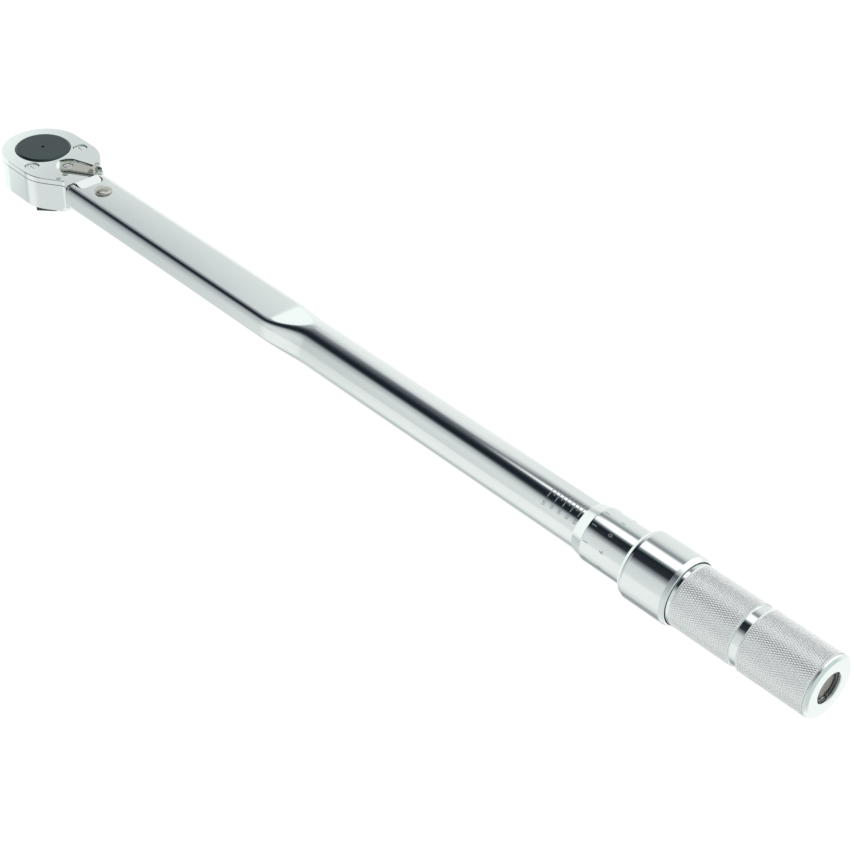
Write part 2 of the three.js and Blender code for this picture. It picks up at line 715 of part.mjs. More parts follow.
function makeThimble() {
  const frontRadius = 13.25;
  const taperEnd = 463.5;
  const body = turned('x', [[THIMBLE_FRONT, THIMBLE_BORE], [THIMBLE_FRONT, frontRadius],
    [taperEnd, THIMBLE_RADIUS], [THIMBLE_REAR, THIMBLE_RADIUS], [THIMBLE_REAR, THIMBLE_BORE]], 36);
  return cut(body, rod('y', LOCK_BALL_RADIUS + GAP, -BEYOND, BEYOND, LOCK_BALL_X, 0, 14));
}

// The sleeve's bore steps in at its front rim and again where it holds the lock balls down.
function makeLockSleeve() {
  const rimEnd = 492;
  const ballLandFront = 498;
  const ballLandBore = 15.9;
  const outside = [[SLEEVE_FRONT, 17.2], [SLEEVE_FRONT + 1, 17.8], [SLEEVE_FRONT + 3, SLEEVE_RADIUS],
    [SLEEVE_REAR - 2.5, SLEEVE_RADIUS], [SLEEVE_REAR, 17.3]];
  const inside = [[SLEEVE_REAR, SLEEVE_BORE], [SPRING_SHOULDER_X, SLEEVE_BORE],
    [SPRING_SHOULDER_X, ballLandBore], [ballLandFront, ballLandBore], [ballLandFront, SLEEVE_BORE],
    [rimEnd, SLEEVE_BORE], [rimEnd, SLEEVE_SEAT_BORE], [SLEEVE_FRONT, SLEEVE_SEAT_BORE]];
  return turned('x', [...outside, ...inside], 36);
}

function makeGrip() {
  const grooveFront = 555.5;
  const grooveRear = 560.4;
  const grooveRadius = 15.6;
  const seatEnd = 524;
  const ringSlotFront = 597.1;
  const ringSlotRear = 598.5;
  const ringSlotRadius = 8.7;
  const outside = [[GRIP_FRONT, GRIP_RADIUS], [grooveFront, GRIP_RADIUS], [grooveFront + 0.6, grooveRadius],
    [grooveRear - 0.6, grooveRadius], [grooveRear, GRIP_RADIUS], [GRIP_REAR - 2, GRIP_RADIUS],
    [GRIP_REAR - 0.6, GRIP_RADIUS - 0.6], [GRIP_REAR, GRIP_RADIUS - 2]];
  const ringSlot = [[GRIP_REAR, END_BORE_RADIUS], [ringSlotRear, END_BORE_RADIUS],
    [ringSlotRear, ringSlotRadius], [ringSlotFront, ringSlotRadius], [ringSlotFront, END_BORE_RADIUS]];
  const inside = [[GRIP_HUB_REAR, END_BORE_RADIUS], [GRIP_HUB_REAR, SCREW_RADIUS + GAP],
    [GRIP_HUB_FRONT, SCREW_RADIUS + GAP], [GRIP_HUB_FRONT, GRIP_BORE], [seatEnd, GRIP_BORE],
    [seatEnd, SLEEVE_SEAT_BORE], [GRIP_FRONT, SLEEVE_SEAT_BORE]];
  return turned('x', [...outside, ...ringSlot, ...inside], 36);
}

const SNAP_RING_FRONT = 597.4;
const SNAP_RING_REAR = 598.2;

function makeSnapRing() {
  const openingHalfWidth = 1.8;
  const band = ring(SNAP_RING_FRONT, SNAP_RING_REAR, 8.4, 7, 24);
  const opening = block([SNAP_RING_FRONT - 1, -openingHalfWidth, -BEYOND],
    [SNAP_RING_REAR + 1, openingHalfWidth, -5]);
  return cut(band, opening);
}

function makeLockNut() {
  const front = GRIP_HUB_REAR + 0.5;
  const rear = SCREW_REAR - GAP;
  const cornerRadius = 7.6;
  const hexagon = turned('x', [[front, 0], [front, cornerRadius], [rear, cornerRadius], [rear, 0]], 6);
  return cut(hexagon, rod('x', SCREW_RADIUS + GAP, front - 1, rear + 1, 0, 0, 20));
}

// ---- Assembly ----

addPart('tube', makeTube(), chrome);
addPart('pivot_pin', makePivotPin(), nickel);
addPart('main_spring', coil(SPRING_FRONT, SPRING_REAR, 8.1, 1.9, 9, 12, 5), springSteel);
addPart('lead_nut', makeLeadNut(), bronze);
addPart('nut_pin', rod('y', NUT_PIN_RADIUS, GAP - TUBE_RADIUS, -SCREW_RADIUS - 0.7, NUT_PIN_X, 0, 12), steel);
addPart('guide_bush', ring(TUBE_REAR - 10, TUBE_REAR, SLIDING_FIT_RADIUS, SCREW_RADIUS + GAP, 28), bronze);

addPart('head_body', makeHeadBody(), chrome);
addPart('cover_plate', makeCoverPlate(), chrome);
COVER_SCREWS.forEach(([x, y], i) => addPart(`cover_screw_${i + 1}`, makeCoverScrew(x, y), satinChrome));
DOWELS.forEach(([x, y], i) => {
  addPart(`dowel_pin_${i + 1}`, rod('z', DOWEL_RADIUS, DOWEL_BOTTOM, HEAD_TOP, x, y, 12), steel);
});
const pawlPinTop = PLATE_BOTTOM - GAP;
addPart('pawl_pin', rod('z', PAWL_PIN_RADIUS, PAWL_PIN_BOTTOM, pawlPinTop, PAWL_PIN_X, 0, 12), steel);
addPart('drive_bush', makeDriveBush(), bronze);

addPart('drive_gear', makeDriveGear(), blackOxide);
const detent = new THREE.Group();
detent.rotation.z = radians(DRIVE_TURN_DEGREES);
aboutTubeAxis.add(detent);
addPart('detent_spring', makeDetentSpring(), springSteel, detent);
addPart('detent_ball', ball(DETENT_BALL_RADIUS, 0, DETENT_BALL_Y, DETENT_HEIGHT), steel, detent);

const selector = new THREE.Group();
selector.position.x = LEVER_X;
selector.rotation.z = radians(LEVER_REST_DEGREES);
aboutTubeAxis.add(selector);
addPart('reverse_lever', makeLever(), nickel, selector);
addPart('selector_shaft', makeSelectorShaft(), steel, selector);
const plungerRear = -1.4;
addPart('selector_spring', coil(plungerRear, 1.7, 0.9, 0.2, 3, 8, 5), springSteel, selector);
const plungerTip = -3.2;
addPart('selector_plunger', rod('x', SELECTOR_PLUNGER_RADIUS, plungerTip, plungerRear, 0, 0, 12), steel,
  selector);
addPart('pawl', makePawl(), steel);

addPart('tilt_block', block([BLOCK_X - BLOCK_HALF, -BLOCK_HALF, -BLOCK_HALF_HEIGHT],
  [BLOCK_X + BLOCK_HALF, BLOCK_HALF, BLOCK_HALF_HEIGHT]), steel);
addPart('plunger', makePlunger(), steel);
addPart('spring_seat', makeSpringSeat(), steel);
addPart('thrust_ball', ball(THRUST_BALL_RADIUS, THRUST_BALL_X, 0, 0), steel);

addPart('adjusting_screw', rod('x', SCREW_RADIUS, SCREW_FRONT, SCREW_REAR, 0, 0, 24), steel);
addPart('thimble', makeThimble(), chrome);
addPart('grip', makeGrip(), satinChrome);
addPart('lock_nut', makeLockNut(), steel);
const plugRadius = END_BORE_RADIUS - GAP;
addPart('end_plug', rod('x', plugRadius, 594, SNAP_RING_FRONT - 0.4, 0, 0, 32), plugGrey);
addPart('snap_ring', makeSnapRing(), springSteel);
addPart('lock_sleeve', makeLockSleeve(), chrome);
addPart('lock_spring', coil(SPRING_SHOULDER_X, GRIP_FRONT, 15.7, 0.6, 3, 16, 4), springSteel);
[1, -1].forEach((side, i) => {
  addPart(`lock_ball_${i + 1}`, ball(LOCK_BALL_RADIUS, LOCK_BALL_X, side * LOCK_BALL_CENTRE, 0), steel);
});

export default wrench;
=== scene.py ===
"""Looks for a half-inch-drive click torque wrench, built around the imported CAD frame.

The wrench lies along +X with its disc up. Lengths are in metres; MM turns millimetres into metres.
"""

import json
import math

import bmesh
import bpy
from mathutils import Matrix, Vector


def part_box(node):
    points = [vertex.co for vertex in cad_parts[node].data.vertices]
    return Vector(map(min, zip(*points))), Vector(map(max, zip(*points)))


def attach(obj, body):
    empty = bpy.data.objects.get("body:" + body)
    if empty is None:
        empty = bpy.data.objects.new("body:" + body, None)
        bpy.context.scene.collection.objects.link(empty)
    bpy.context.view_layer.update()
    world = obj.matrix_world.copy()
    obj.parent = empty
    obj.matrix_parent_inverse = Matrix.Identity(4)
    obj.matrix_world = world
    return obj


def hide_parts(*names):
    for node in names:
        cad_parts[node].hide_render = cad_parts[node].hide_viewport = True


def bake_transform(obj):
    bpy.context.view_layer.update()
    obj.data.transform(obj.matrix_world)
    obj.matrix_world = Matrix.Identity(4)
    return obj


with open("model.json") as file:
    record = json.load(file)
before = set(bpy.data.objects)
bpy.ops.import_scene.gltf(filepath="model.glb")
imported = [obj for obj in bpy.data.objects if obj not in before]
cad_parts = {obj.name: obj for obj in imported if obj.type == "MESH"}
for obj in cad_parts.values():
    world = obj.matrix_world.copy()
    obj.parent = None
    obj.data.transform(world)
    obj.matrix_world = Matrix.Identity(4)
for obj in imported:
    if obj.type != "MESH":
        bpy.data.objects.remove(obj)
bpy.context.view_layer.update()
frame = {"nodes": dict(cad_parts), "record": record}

MM = 0.001
AROUND = 128

# ---- Places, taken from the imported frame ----

TUBE_LOW, TUBE_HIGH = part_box("tube")
BODY_LOW, BODY_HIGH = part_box("head_body")
PLATE_LOW, PLATE_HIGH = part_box("cover_plate")
GEAR_LOW, GEAR_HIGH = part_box("drive_gear")
THIMBLE_LOW, THIMBLE_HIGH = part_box("thimble")
SLEEVE_LOW, SLEEVE_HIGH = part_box("lock_sleeve")
GRIP_LOW, GRIP_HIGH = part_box("grip")
PIN_LOW, PIN_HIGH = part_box("pivot_pin")
SCREW_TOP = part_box("cover_screw_1")[1].z
SHAFT_LOW, SHAFT_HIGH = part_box("selector_shaft")
PLUG_LOW, PLUG_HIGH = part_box("end_plug")
RING_LOW, RING_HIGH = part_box("snap_ring")

AXIS_Z = (TUBE_LOW.z + TUBE_HIGH.z) / 2
PIVOT_X = (PIN_LOW.x + PIN_HIGH.x) / 2
LEVER_X = (SHAFT_LOW.x + SHAFT_HIGH.x) / 2

# ---- Dimensions ----

TUBE_RADIUS = (TUBE_HIGH.z - TUBE_LOW.z) / 2
TUBE_WALL = 2 * MM
OVAL_HALF_WIDTH = TUBE_HIGH.y
OVAL_HALF_HEIGHT = 7.5 * MM
OVAL_CORNER = 5 * MM
OVAL_END = 225 * MM
ROUND_START = 258 * MM

HEAD_RADIUS = BODY_HIGH.y
SHOULDER_RADIUS = 24 * MM
SHOULDER_X = 16.88 * MM
TAPER_DEGREES = 35
NECK_HALF_WIDTH = 13.5 * MM
NECK_FILLET_RADIUS = 5 * MM
NECK_REAR = 43.2 * MM
PLATE_REAR = PLATE_HIGH.x
RAMP_REAR = 51.4 * MM
RAMP_HALF_WIDTH = 7.8 * MM
RAMP_CORNER = 3.4 * MM
RAMP_TOP = 8.8 * MM
RAMP_TOE = 6.4 * MM
UNDERCUT_WALL = 39 * MM
ARM_HALF_HEIGHT = 5 * MM
NOTCH_REAR = 52.3 * MM
NOTCH_HALF_WIDTH = 8.7 * MM
NOTCH_CORNER = 4 * MM
RECESS_FLOOR = 7.8 * MM
RECESS_RADIUS = 7.3 * MM
RECESS_FLARE_DEGREES = 20
GAP = 0.3 * MM
# How far a cutting solid stands clear of what it cuts, and a height above everything.
CLEAR = 5 * MM
ABOVE_ALL = 60 * MM

PIN_BORE = 4.3 * MM
SHAFT_BORE = 3.3 * MM
GEAR_POCKET_RADIUS = 18.7 * MM
GEAR_POCKET_FLOOR = 23 * MM
BUSH_BORE = 12.7 * MM
PAWL_POCKET_FRONT = 12 * MM
PAWL_POCKET_HALF_WIDTH = 14.7 * MM
SCREW_HEAD_RADIUS = 4.2 * MM
SCREW_HEAD_DEPTH = 0.9 * MM
SCREW_RADIUS = 1.5 * MM
DOWEL_BORE = 1.3 * MM
STOP_HOLE_RADIUS = 1.6 * MM
STOP_HOLE_BACK = 5.5 * MM
STOP_HOLE_SIDE = 6.1 * MM

# How far the lever is turned at rest.
LEVER_REST = math.radians(30)

GEAR_TEETH = 36
GEAR_TIP_RADIUS = GEAR_HIGH.x
GEAR_ROOT_RADIUS = 16.9 * MM
DISC_RADIUS = 16.5 * MM
DISC_FACE_RADIUS = 15.6 * MM
DRIVE_HALF = 6.35 * MM
DRIVE_SHOULDER = 10.9 * MM
DRIVE_TURN = math.radians(-135)

THIMBLE_RADIUS = THIMBLE_HIGH.y
SLEEVE_RADIUS = SLEEVE_HIGH.y
GRIP_RADIUS = GRIP_HIGH.y
KNURL_PITCH = 1.15 * MM
KNURL_LENGTH = 2.6 * MM
KNURL_DEPTH = 0.36 * MM

# ---- Camera ----

CAMERA_TARGET = Vector((347.7 * MM, -4.7 * MM, AXIS_Z))
CAMERA_DISTANCE = 996.6 * MM
CAMERA_AZIMUTH = math.radians(45.86)
CAMERA_ELEVATION = math.radians(37.23)
CAMERA_ROLL = math.radians(2.02)
CAMERA_LENS = 82.83


def make_camera():
    sin_a, cos_a = math.sin(CAMERA_AZIMUTH), math.cos(CAMERA_AZIMUTH)
    sin_e, cos_e = math.sin(CAMERA_ELEVATION), math.cos(CAMERA_ELEVATION)
    back = Vector((sin_a * cos_e, -cos_a * cos_e, sin_e))
    level_right = Vector((cos_a, sin_a, 0))
    level_up = back.cross(level_right)
    right = level_right * math.cos(CAMERA_ROLL) + level_up * math.sin(CAMERA_ROLL)
    up = back.cross(right)
    data = bpy.data.cameras.new("camera")
    data.lens = CAMERA_LENS
    data.sensor_width = 36
    data.clip_end = 20
    camera = bpy.data.objects.new("camera", data)
    turn = Matrix((right, up, back)).transposed().to_4x4()
    camera.matrix_world = Matrix.Translation(CAMERA_TARGET + back * CAMERA_DISTANCE) @ turn
    bpy.context.scene.collection.objects.link(camera)
    bpy.context.scene.camera = camera


# ---- Studio ----

# Brightness of the studio round the tube's axis, at degrees from straight up towards +Y. Each set is seen in
# one stretch of the wrench: the flattened tube, the round tube, its rear, and the handle. These four aren't a
# free design: they follow brightness readings of the reference photograph, thinned and rounded.
OVAL_SURROUND = [(-180, 0.8), (-140, 0.73), (-100, 0.63), (-60, 0.42), (-46, 0.22), (-35, 0.05),
                 (-26, 0.02), (-15, 0.02), (-5, 0.06), (12, 0.36), (33, 0.55), (49, 0.88), (60, 0.98),
                 (100, 1.05), (140, 1.05)]
ROUND_SURROUND = [(-180, 0.6), (-172, 0.6), (-154, 0.92), (-140, 0.98), (-104, 0.94), (-94, 0.76),
                  (-63, 0.82), (-43, 0.55), (-35, 0.16), (-29, 0.02), (-13, 0.02), (7, 0.12), (15, 0.25),
                  (25, 0.75), (40, 0.93), (67, 0.95), (137, 1.05), (156, 0.95), (176, 0.66)]
REAR_SURROUND = [(-180, 0.57), (-172, 0.57), (-154, 0.9), (-140, 1.0), (-104, 0.99), (-94, 0.85),
                 (-73, 0.85), (-53, 0.63), (-45, 0.34), (-37, 0.02), (-13, 0.02), (-3, 0.1), (3, 1.4),
                 (9, 1.3), (14, 0.2), (24, 0.15), (40, 0.75), (50, 0.9), (98, 0.88), (137, 1.05),
                 (160, 0.9), (176, 0.64)]
HANDLE_SURROUND = [(-180, 0.36), (-174, 0.43), (-160, 0.82), (-140, 0.97), (-104, 0.98), (-94, 0.84),
                   (-63, 0.75), (-48, 0.25), (-40, 0.03), (-16, 0.02), (-9, 0.3), (-3, 1.3), (8, 1.6),
                   (17, 1.3), (24, 0.4), (30, 0.3), (46, 0.8), (58, 0.9), (97, 0.93), (137, 1.08),
                   (155, 0.75), (170, 0.42)]
# The same for faces that look back towards the head's near side.
SIDE_SURROUND = [(-180, 0.95), (-150, 0.84), (-100, 0.8), (-60, 0.5), (-20, 0.1), (10, 1.3), (60, 1.3),
                 (90, 1.0), (137, 1.08)]
# The light ahead of the wrench and behind it, and what the camera sees past the floor.
FRONT_LIGHT = (1.06, 1.1, 1.09, 1)
REAR_LIGHT = (0.68, 0.76, 0.74, 1)
BACKDROP = (1, 1, 1, 1)
# Levels below the first are shade with this much red. The others are near white, and bluer when darker.
DEEP_SHADE = 0.03
DEEP_RED = 0.6
PALE_RED = 0.94
MOST_EXTRA_BLUE = 0.35


def surround_ramp(nodes, stops):
    ramp = nodes.new("ShaderNodeValToRGB")
    elements = ramp.color_ramp.elements
    while len(elements) < len(stops):
        elements.new(0.5)
    for element, (degrees, level) in zip(elements, stops):
        red = level * (DEEP_RED if level < DEEP_SHADE else min(1.0, PALE_RED + 0.06 * level ** 4))
        blue = level * (1 + MOST_EXTRA_BLUE * max(0.0, 1 - level) ** 4)
        element.position = (degrees + 180) / 360
        element.color = (red, level, blue, 1)
    return ramp


def math_node(nodes, operation, *values):
    node = nodes.new("ShaderNodeMath")
    node.operation = operation
    for socket, value in zip(node.inputs, values):
        if value is not None:
            socket.default_value = value
    return node


def range_node(nodes, from_min, from_max, to_min=0, to_max=1):
    node = nodes.new("ShaderNodeMapRange")
    node.inputs["From Min"].default_value = from_min
    node.inputs["From Max"].default_value = from_max
    node.inputs["To Min"].default_value = to_min
    node.inputs["To Max"].default_value = to_max
    return node


def mix_node(nodes, links, factor, first, second):
    """A colour mix of two inputs, each a socket or a plain colour."""
    mix = nodes.new("ShaderNodeMix")
    mix.data_type = "RGBA"
    links.new(factor, mix.inputs["Factor"])
    for socket, value in ((mix.inputs["A"], first), (mix.inputs["B"], second)):
        if isinstance(value, tuple):
            socket.default_value = value
        else:
            links.new(value, socket)
    return mix.outputs["Result"]


def make_world():
    world = bpy.data.worlds.new("studio")
    bpy.context.scene.world = world
    world.use_nodes = True
    nodes, links = world.node_tree.nodes, world.node_tree.links
    nodes.clear()
    place = nodes.new("ShaderNodeTexCoord")
    parts = nodes.new("ShaderNodeSeparateXYZ")
    links.new(place.outputs["Generated"], parts.inputs[0])
    angle = math_node(nodes, "ARCTAN2")
    links.new(parts.outputs["Y"], angle.inputs[0])
    links.new(parts.outputs["Z"], angle.inputs[1])
    share = range_node(nodes, -math.pi, math.pi)
    links.new(angle.outputs[0], share.inputs["Value"])

    def turning(start, end):
        """0 where a direction's X is at start, and 1 at end."""
        along = range_node(nodes, start, end)
        links.new(parts.outputs["X"], along.inputs["Value"])
        return along.outputs[0]

    def surround(stops):
        ramp = surround_ramp(nodes, stops)
        links.new(share.outputs[0], ramp.inputs[0])
        return ramp.outputs[0]

    # Each set takes over from the one before as the direction turns from forward to backward.
    result = surround(OVAL_SURROUND)
    for stops, start, end in ((ROUND_SURROUND, -0.69, -0.585), (REAR_SURROUND, -0.55, -0.505),
                              (HANDLE_SURROUND, -0.493, -0.485), (SIDE_SURROUND, -0.38, -0.12)):
        result = mix_node(nodes, links, turning(start, end), result, surround(stops))
    result = mix_node(nodes, links, turning(-0.742, -0.762), result, FRONT_LIGHT)
    result = mix_node(nodes, links, turning(0.45, 0.7), result, REAR_LIGHT)
    seen = nodes.new("ShaderNodeLightPath")
    result = mix_node(nodes, links, seen.outputs["Is Camera Ray"], result, BACKDROP)
    background = nodes.new("ShaderNodeBackground")
    links.new(result, background.inputs["Color"])
    output = nodes.new("ShaderNodeOutputWorld")
    links.new(background.outputs[0], output.inputs[0])


def make_floor():
    """A pale floor just under the drive's end and the handle, so it tilts slightly."""
    tilt = math.atan(SLEEVE_LOW.z / SLEEVE_HIGH.x)
    glow_strength = 1.06
    matt_share = 0.05
    bpy.ops.mesh.primitive_plane_add(size=8)
    floor = bpy.context.object
    floor.name = "floor"
    floor.rotation_euler = (0, -tilt, 0)
    floor.location = (0, 0, -0.1 * MM)
    material = bpy.data.materials.new("floor")
    material.use_nodes = True
    nodes, links = material.node_tree.nodes, material.node_tree.links
    nodes.clear()
    glow = nodes.new("ShaderNodeEmission")
    glow.inputs["Color"].default_value = (1, 1, 1, 1)
    glow.inputs["Strength"].default_value = glow_strength
    matt = nodes.new("ShaderNodeBsdfDiffuse")
    matt.inputs["Color"].default_value = (1, 1, 1, 1)
    blend = nodes.new("ShaderNodeMixShader")
    blend.inputs[0].default_value = matt_share
    links.new(glow.outputs[0], blend.inputs[1])
    links.new(matt.outputs[0], blend.inputs[2])
    output = nodes.new("ShaderNodeOutputMaterial")
    links.new(blend.outputs[0], output.inputs[0])
    floor.data.materials.append(material)
    floor.visible_glossy = False


def make_key_light():
    data = bpy.data.lights.new("soft_key", "AREA")
    data.shape = "RECTANGLE"
    data.size = 1.6
    data.size_y = 1.2
    data.energy = 9
    light = bpy.data.objects.new("soft_key", data)
    light.location = (0.9, 0.9, 1.5)
    aim = Vector((0.3, 0, 0)) - light.location
    light.rotation_euler = aim.to_track_quat("-Z", "Y").to_euler()
    light.visible_glossy = False
    bpy.context.scene.collection.objects.link(light)


# ---- Materials ----


def noise(nodes, links, coords, scale, detail=4, stretch=(1, 1, 1)):
    mapping = nodes.new("ShaderNodeMapping")
    mapping.inputs["Scale"].default_value = stretch
    links.new(coords, mapping.inputs["Vector"])
    texture = nodes.new("ShaderNodeTexNoise")
    texture.inputs["Scale"].default_value = scale
    texture.inputs["Detail"].default_value = detail
    links.new(mapping.outputs[0], texture.inputs["Vector"])
    return texture.outputs["Fac"]


def metal(name, dark, light, rough, grain=(1, 1, 1), grain_scale=2500, bump=0.02, metallic=1.0):
    """Metal whose colour drifts between two tones, with fine directional grain in roughness and bump."""
    material = bpy.data.materials.new(name)
    material.use_nodes = True
    nodes, links = material.node_tree.nodes, material.node_tree.links
    shader = nodes["Principled BSDF"]
    shader.inputs["Metallic"].default_value = metallic
    coords = nodes.new("ShaderNodeTexCoord").outputs["Object"]
    drift = noise(nodes, links, coords, 60, 3)
    fine = noise(nodes, links, coords, grain_scale, 3, grain)
    colour = nodes.new("ShaderNodeMix")
    colour.data_type = "RGBA"
    colour.inputs["A"].default_value = (*dark, 1)
    colour.inputs["B"].default_value = (*light, 1)
    links.new(drift, colour.inputs["Factor"])
    links.new(colour.outputs["Result"], shader.inputs["Base Color"])
    spread = range_node(nodes, 0.25, 0.75, rough[0], rough[1])
    both = math_node(nodes, "ADD")
    links.new(drift, both.inputs[0])
    links.new(fine, both.inputs[1])
    half = math_node(nodes, "MULTIPLY", None, 0.5)
    links.new(both.outputs[0], half.inputs[0])
    links.new(half.outputs[0], spread.inputs["Value"])
    links.new(spread.outputs[0], shader.inputs["Roughness"])
    relief = nodes.new("ShaderNodeBump")
    relief.inputs["Strength"].default_value = bump
    relief.inputs["Distance"].default_value = 0.05 * MM
    links.new(fine, relief.inputs["Height"])
    links.new(relief.outputs[0], shader.inputs["Normal"])
    return material


def make_materials():
    along = (0.04, 1, 1)
    return {
        "polished_chrome": metal("polished_chrome", (0.79, 0.845, 0.83), (0.83, 0.875, 0.86),
                                 (0.035, 0.09), along, 1800, 0.015),
        "satin_chrome": metal("satin_chrome", (0.74, 0.79, 0.78), (0.80, 0.84, 0.83), (0.2, 0.34),
                              bump=0.04),
        "knurled_steel": metal("knurled_steel", (0.88, 0.90, 0.895), (0.93, 0.94, 0.935), (0.35, 0.5),
                               bump=0.05),
        "black_oxide": metal("black_oxide", (0.042, 0.064, 0.068), (0.056, 0.078, 0.084), (0.22, 0.36),
                             grain_scale=1600, bump=0.05),
        "nickel": metal("nickel", (0.45, 0.45, 0.405), (0.53, 0.52, 0.475), (0.16, 0.3), bump=0.04),
        "plain_steel": metal("plain_steel", (0.46, 0.48, 0.48), (0.58, 0.59, 0.58), (0.25, 0.42),
                             bump=0.05),
        "spring_steel": metal("spring_steel", (0.2, 0.21, 0.22), (0.33, 0.34, 0.35), (0.25, 0.45),
                              bump=0.05),
        "bronze": metal("bronze", (0.5, 0.36, 0.2), (0.62, 0.46, 0.27), (0.3, 0.48), bump=0.06),
        "plug_grey": metal("plug_grey", (0.33, 0.31, 0.28), (0.42, 0.39, 0.36), (0.45, 0.6),
                           grain_scale=3500, bump=0.15, metallic=0.25),
        "etched_mark": metal("etched_mark", (0.28, 0.30, 0.30), (0.35, 0.37, 0.37), (0.6, 0.8),
                             grain_scale=4000, bump=0.1, metallic=0.2),
    }


# ---- Mesh helpers ----


def finish_mesh(name, mesh, material, body, nodes=(), slot=None, sharp_degrees=32):
    """Recalculates normals, keeps sharp edges sharp, and rides the piece on its body, if it has one."""
    bm = bmesh.new()
    bm.from_mesh(mesh)
    bmesh.ops.remove_doubles(bm, verts=bm.verts, dist=1e-7)
    bmesh.ops.dissolve_degenerate(bm, dist=1e-7, edges=bm.edges)
    bmesh.ops.recalc_face_normals(bm, faces=bm.faces)
    limit = math.radians(sharp_degrees)
    for face in bm.faces:
        face.smooth = True
    for edge in bm.edges:
        edge.smooth = len(edge.link_faces) == 2 and edge.calc_face_angle(0) < limit
    bm.to_mesh(mesh)
    bm.free()
    mesh.materials.clear()
    mesh.materials.append(MATERIALS[material])
    piece = bpy.data.objects.new(name, mesh)
    bpy.context.scene.collection.objects.link(piece)
    if body:
        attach(piece, body)
    if nodes:
        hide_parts(*nodes)
    flats = piece.modifiers.new("flat_normals", "WEIGHTED_NORMAL")
    flats.keep_sharp = True
    flats.weight = 80
    return piece


def mesh_from(name, verts, faces):
    mesh = bpy.data.meshes.new(name)
    mesh.from_pydata([tuple(v) for v in verts], [], faces)
    return mesh


def skin(rings, closed_chain=True):
    """Vertices and quads that join a chain of equal rings."""
    count = len(rings[0])
    verts = [v for ring in rings for v in ring]
    faces = []
    last = len(rings) if closed_chain else len(rings) - 1
    for r in range(last):
        following = (r + 1) % len(rings)
        for i in range(count):
            j = (i + 1) % count
            faces.append((r * count + i, r * count + j, following * count + j, following * count + i))
    return verts, faces


def capped(rings):
    """A solid whose first and last rings are closed by flat faces."""
    verts, faces = skin(rings, closed_chain=False)
    count = len(rings[0])
    faces.append(tuple(range(count)))
    faces.append(tuple(range(len(verts) - 1, len(verts) - count - 1, -1)))
    return verts, faces


def round_x(x, radius, around=AROUND):
    return [(x, radius * math.sin(2 * math.pi * i / around),
             AXIS_Z + radius * math.cos(2 * math.pi * i / around)) for i in range(around)]


def round_z(z, radius, x=0.0, y=0.0, around=AROUND):
    return [(x + radius * math.cos(2 * math.pi * i / around),
             y + radius * math.sin(2 * math.pi * i / around), z) for i in range(around)]


def arc(x, y, radius, start, end, steps):
    turns = [math.radians(start + (end - start) * i / steps) for i in range(steps + 1)]
    return [(x + radius * math.cos(t), y + radius * math.sin(t)) for t in turns]


def softened(profile, radius, steps=3):
    """Rounds each corner of a closed [x, r] profile with a small arc, by a quadratic curve."""
    points = []
    count = len(profile)
    for i, corner in enumerate(profile):
        here = Vector(corner)
        before = Vector(profile[i - 1]) - here
        after = Vector(profile[(i + 1) % count]) - here
        reach = min(radius, before.length * 0.45, after.length * 0.45)
        start = here + before.normalized() * reach
        end = here + after.normalized() * reach
        for s in range(steps + 1):
            t = s / steps
            points.append(start * (1 - t) ** 2 + here * 2 * t * (1 - t) + end * t ** 2)
    return points


def lathe_x(name, profile, soft, material, body, **options):
    rings = [round_x(x, r) for x, r in softened(profile, soft)]
    finish_mesh(name, mesh_from(name, *skin(rings)), material, body, **options)


def turned_z(profile, x=0.0, y=0.0, around=64):
    """A turned solid about a vertical axis, from its bottom ring to its top ring."""
    return capped([round_z(z, r, x, y, around) for z, r in profile])


def offset_outline(outline, inset):
    points = []
    count = len(outline)
    for i in range(count):
        before, here, after = (Vector(outline[(i + k) % count]) for k in (-1, 0, 1))
        first, second = (here - before).normalized(), (after - here).normalized()
        normal = Vector((-(first.y + second.y), first.x + second.x)).normalized()
        lean = max(0.5, normal.dot(Vector((-first.y, first.x))))
        points.append(here + normal * inset / lean)
    return points


def filleted_slab(outline, low, high, low_radius, high_radius, steps=4):
    """An extruded anticlockwise outline with rounded lower and upper edges."""
    rings = []
    for s in range(steps + 1):
        t = math.pi / 2 * s / steps
        ring = offset_outline(outline, low_radius * (1 - math.sin(t)))
        rings.append([(p.x, p.y, low + low_radius * (1 - math.cos(t))) for p in ring])
    for s in range(steps + 1):
        t = math.pi / 2 * s / steps
        ring = offset_outline(outline, high_radius * (1 - math.cos(t)))
        rings.append([(p.x, p.y, high - high_radius * (1 - math.sin(t))) for p in ring])
    return capped(rings)


def mirrored(points):
    return [(x, -y) for x, y in reversed(points)]


def prism(outline, low, high):
    return capped([[(x, y, z) for x, y in outline] for z in (low, high)])


def turned(shape, angle):
    """A solid's vertices and faces turned about the drive's axis."""
    verts, faces = shape
    spin = Matrix.Rotation(angle, 3, "Z")
    return [spin @ Vector(v) for v in verts], faces


def side_solid(profile, half_width):
    """An [x, z] profile extruded equally to both sides of the XZ plane."""
    return capped([[(x, y, z) for x, z in profile] for y in (-half_width, half_width)])


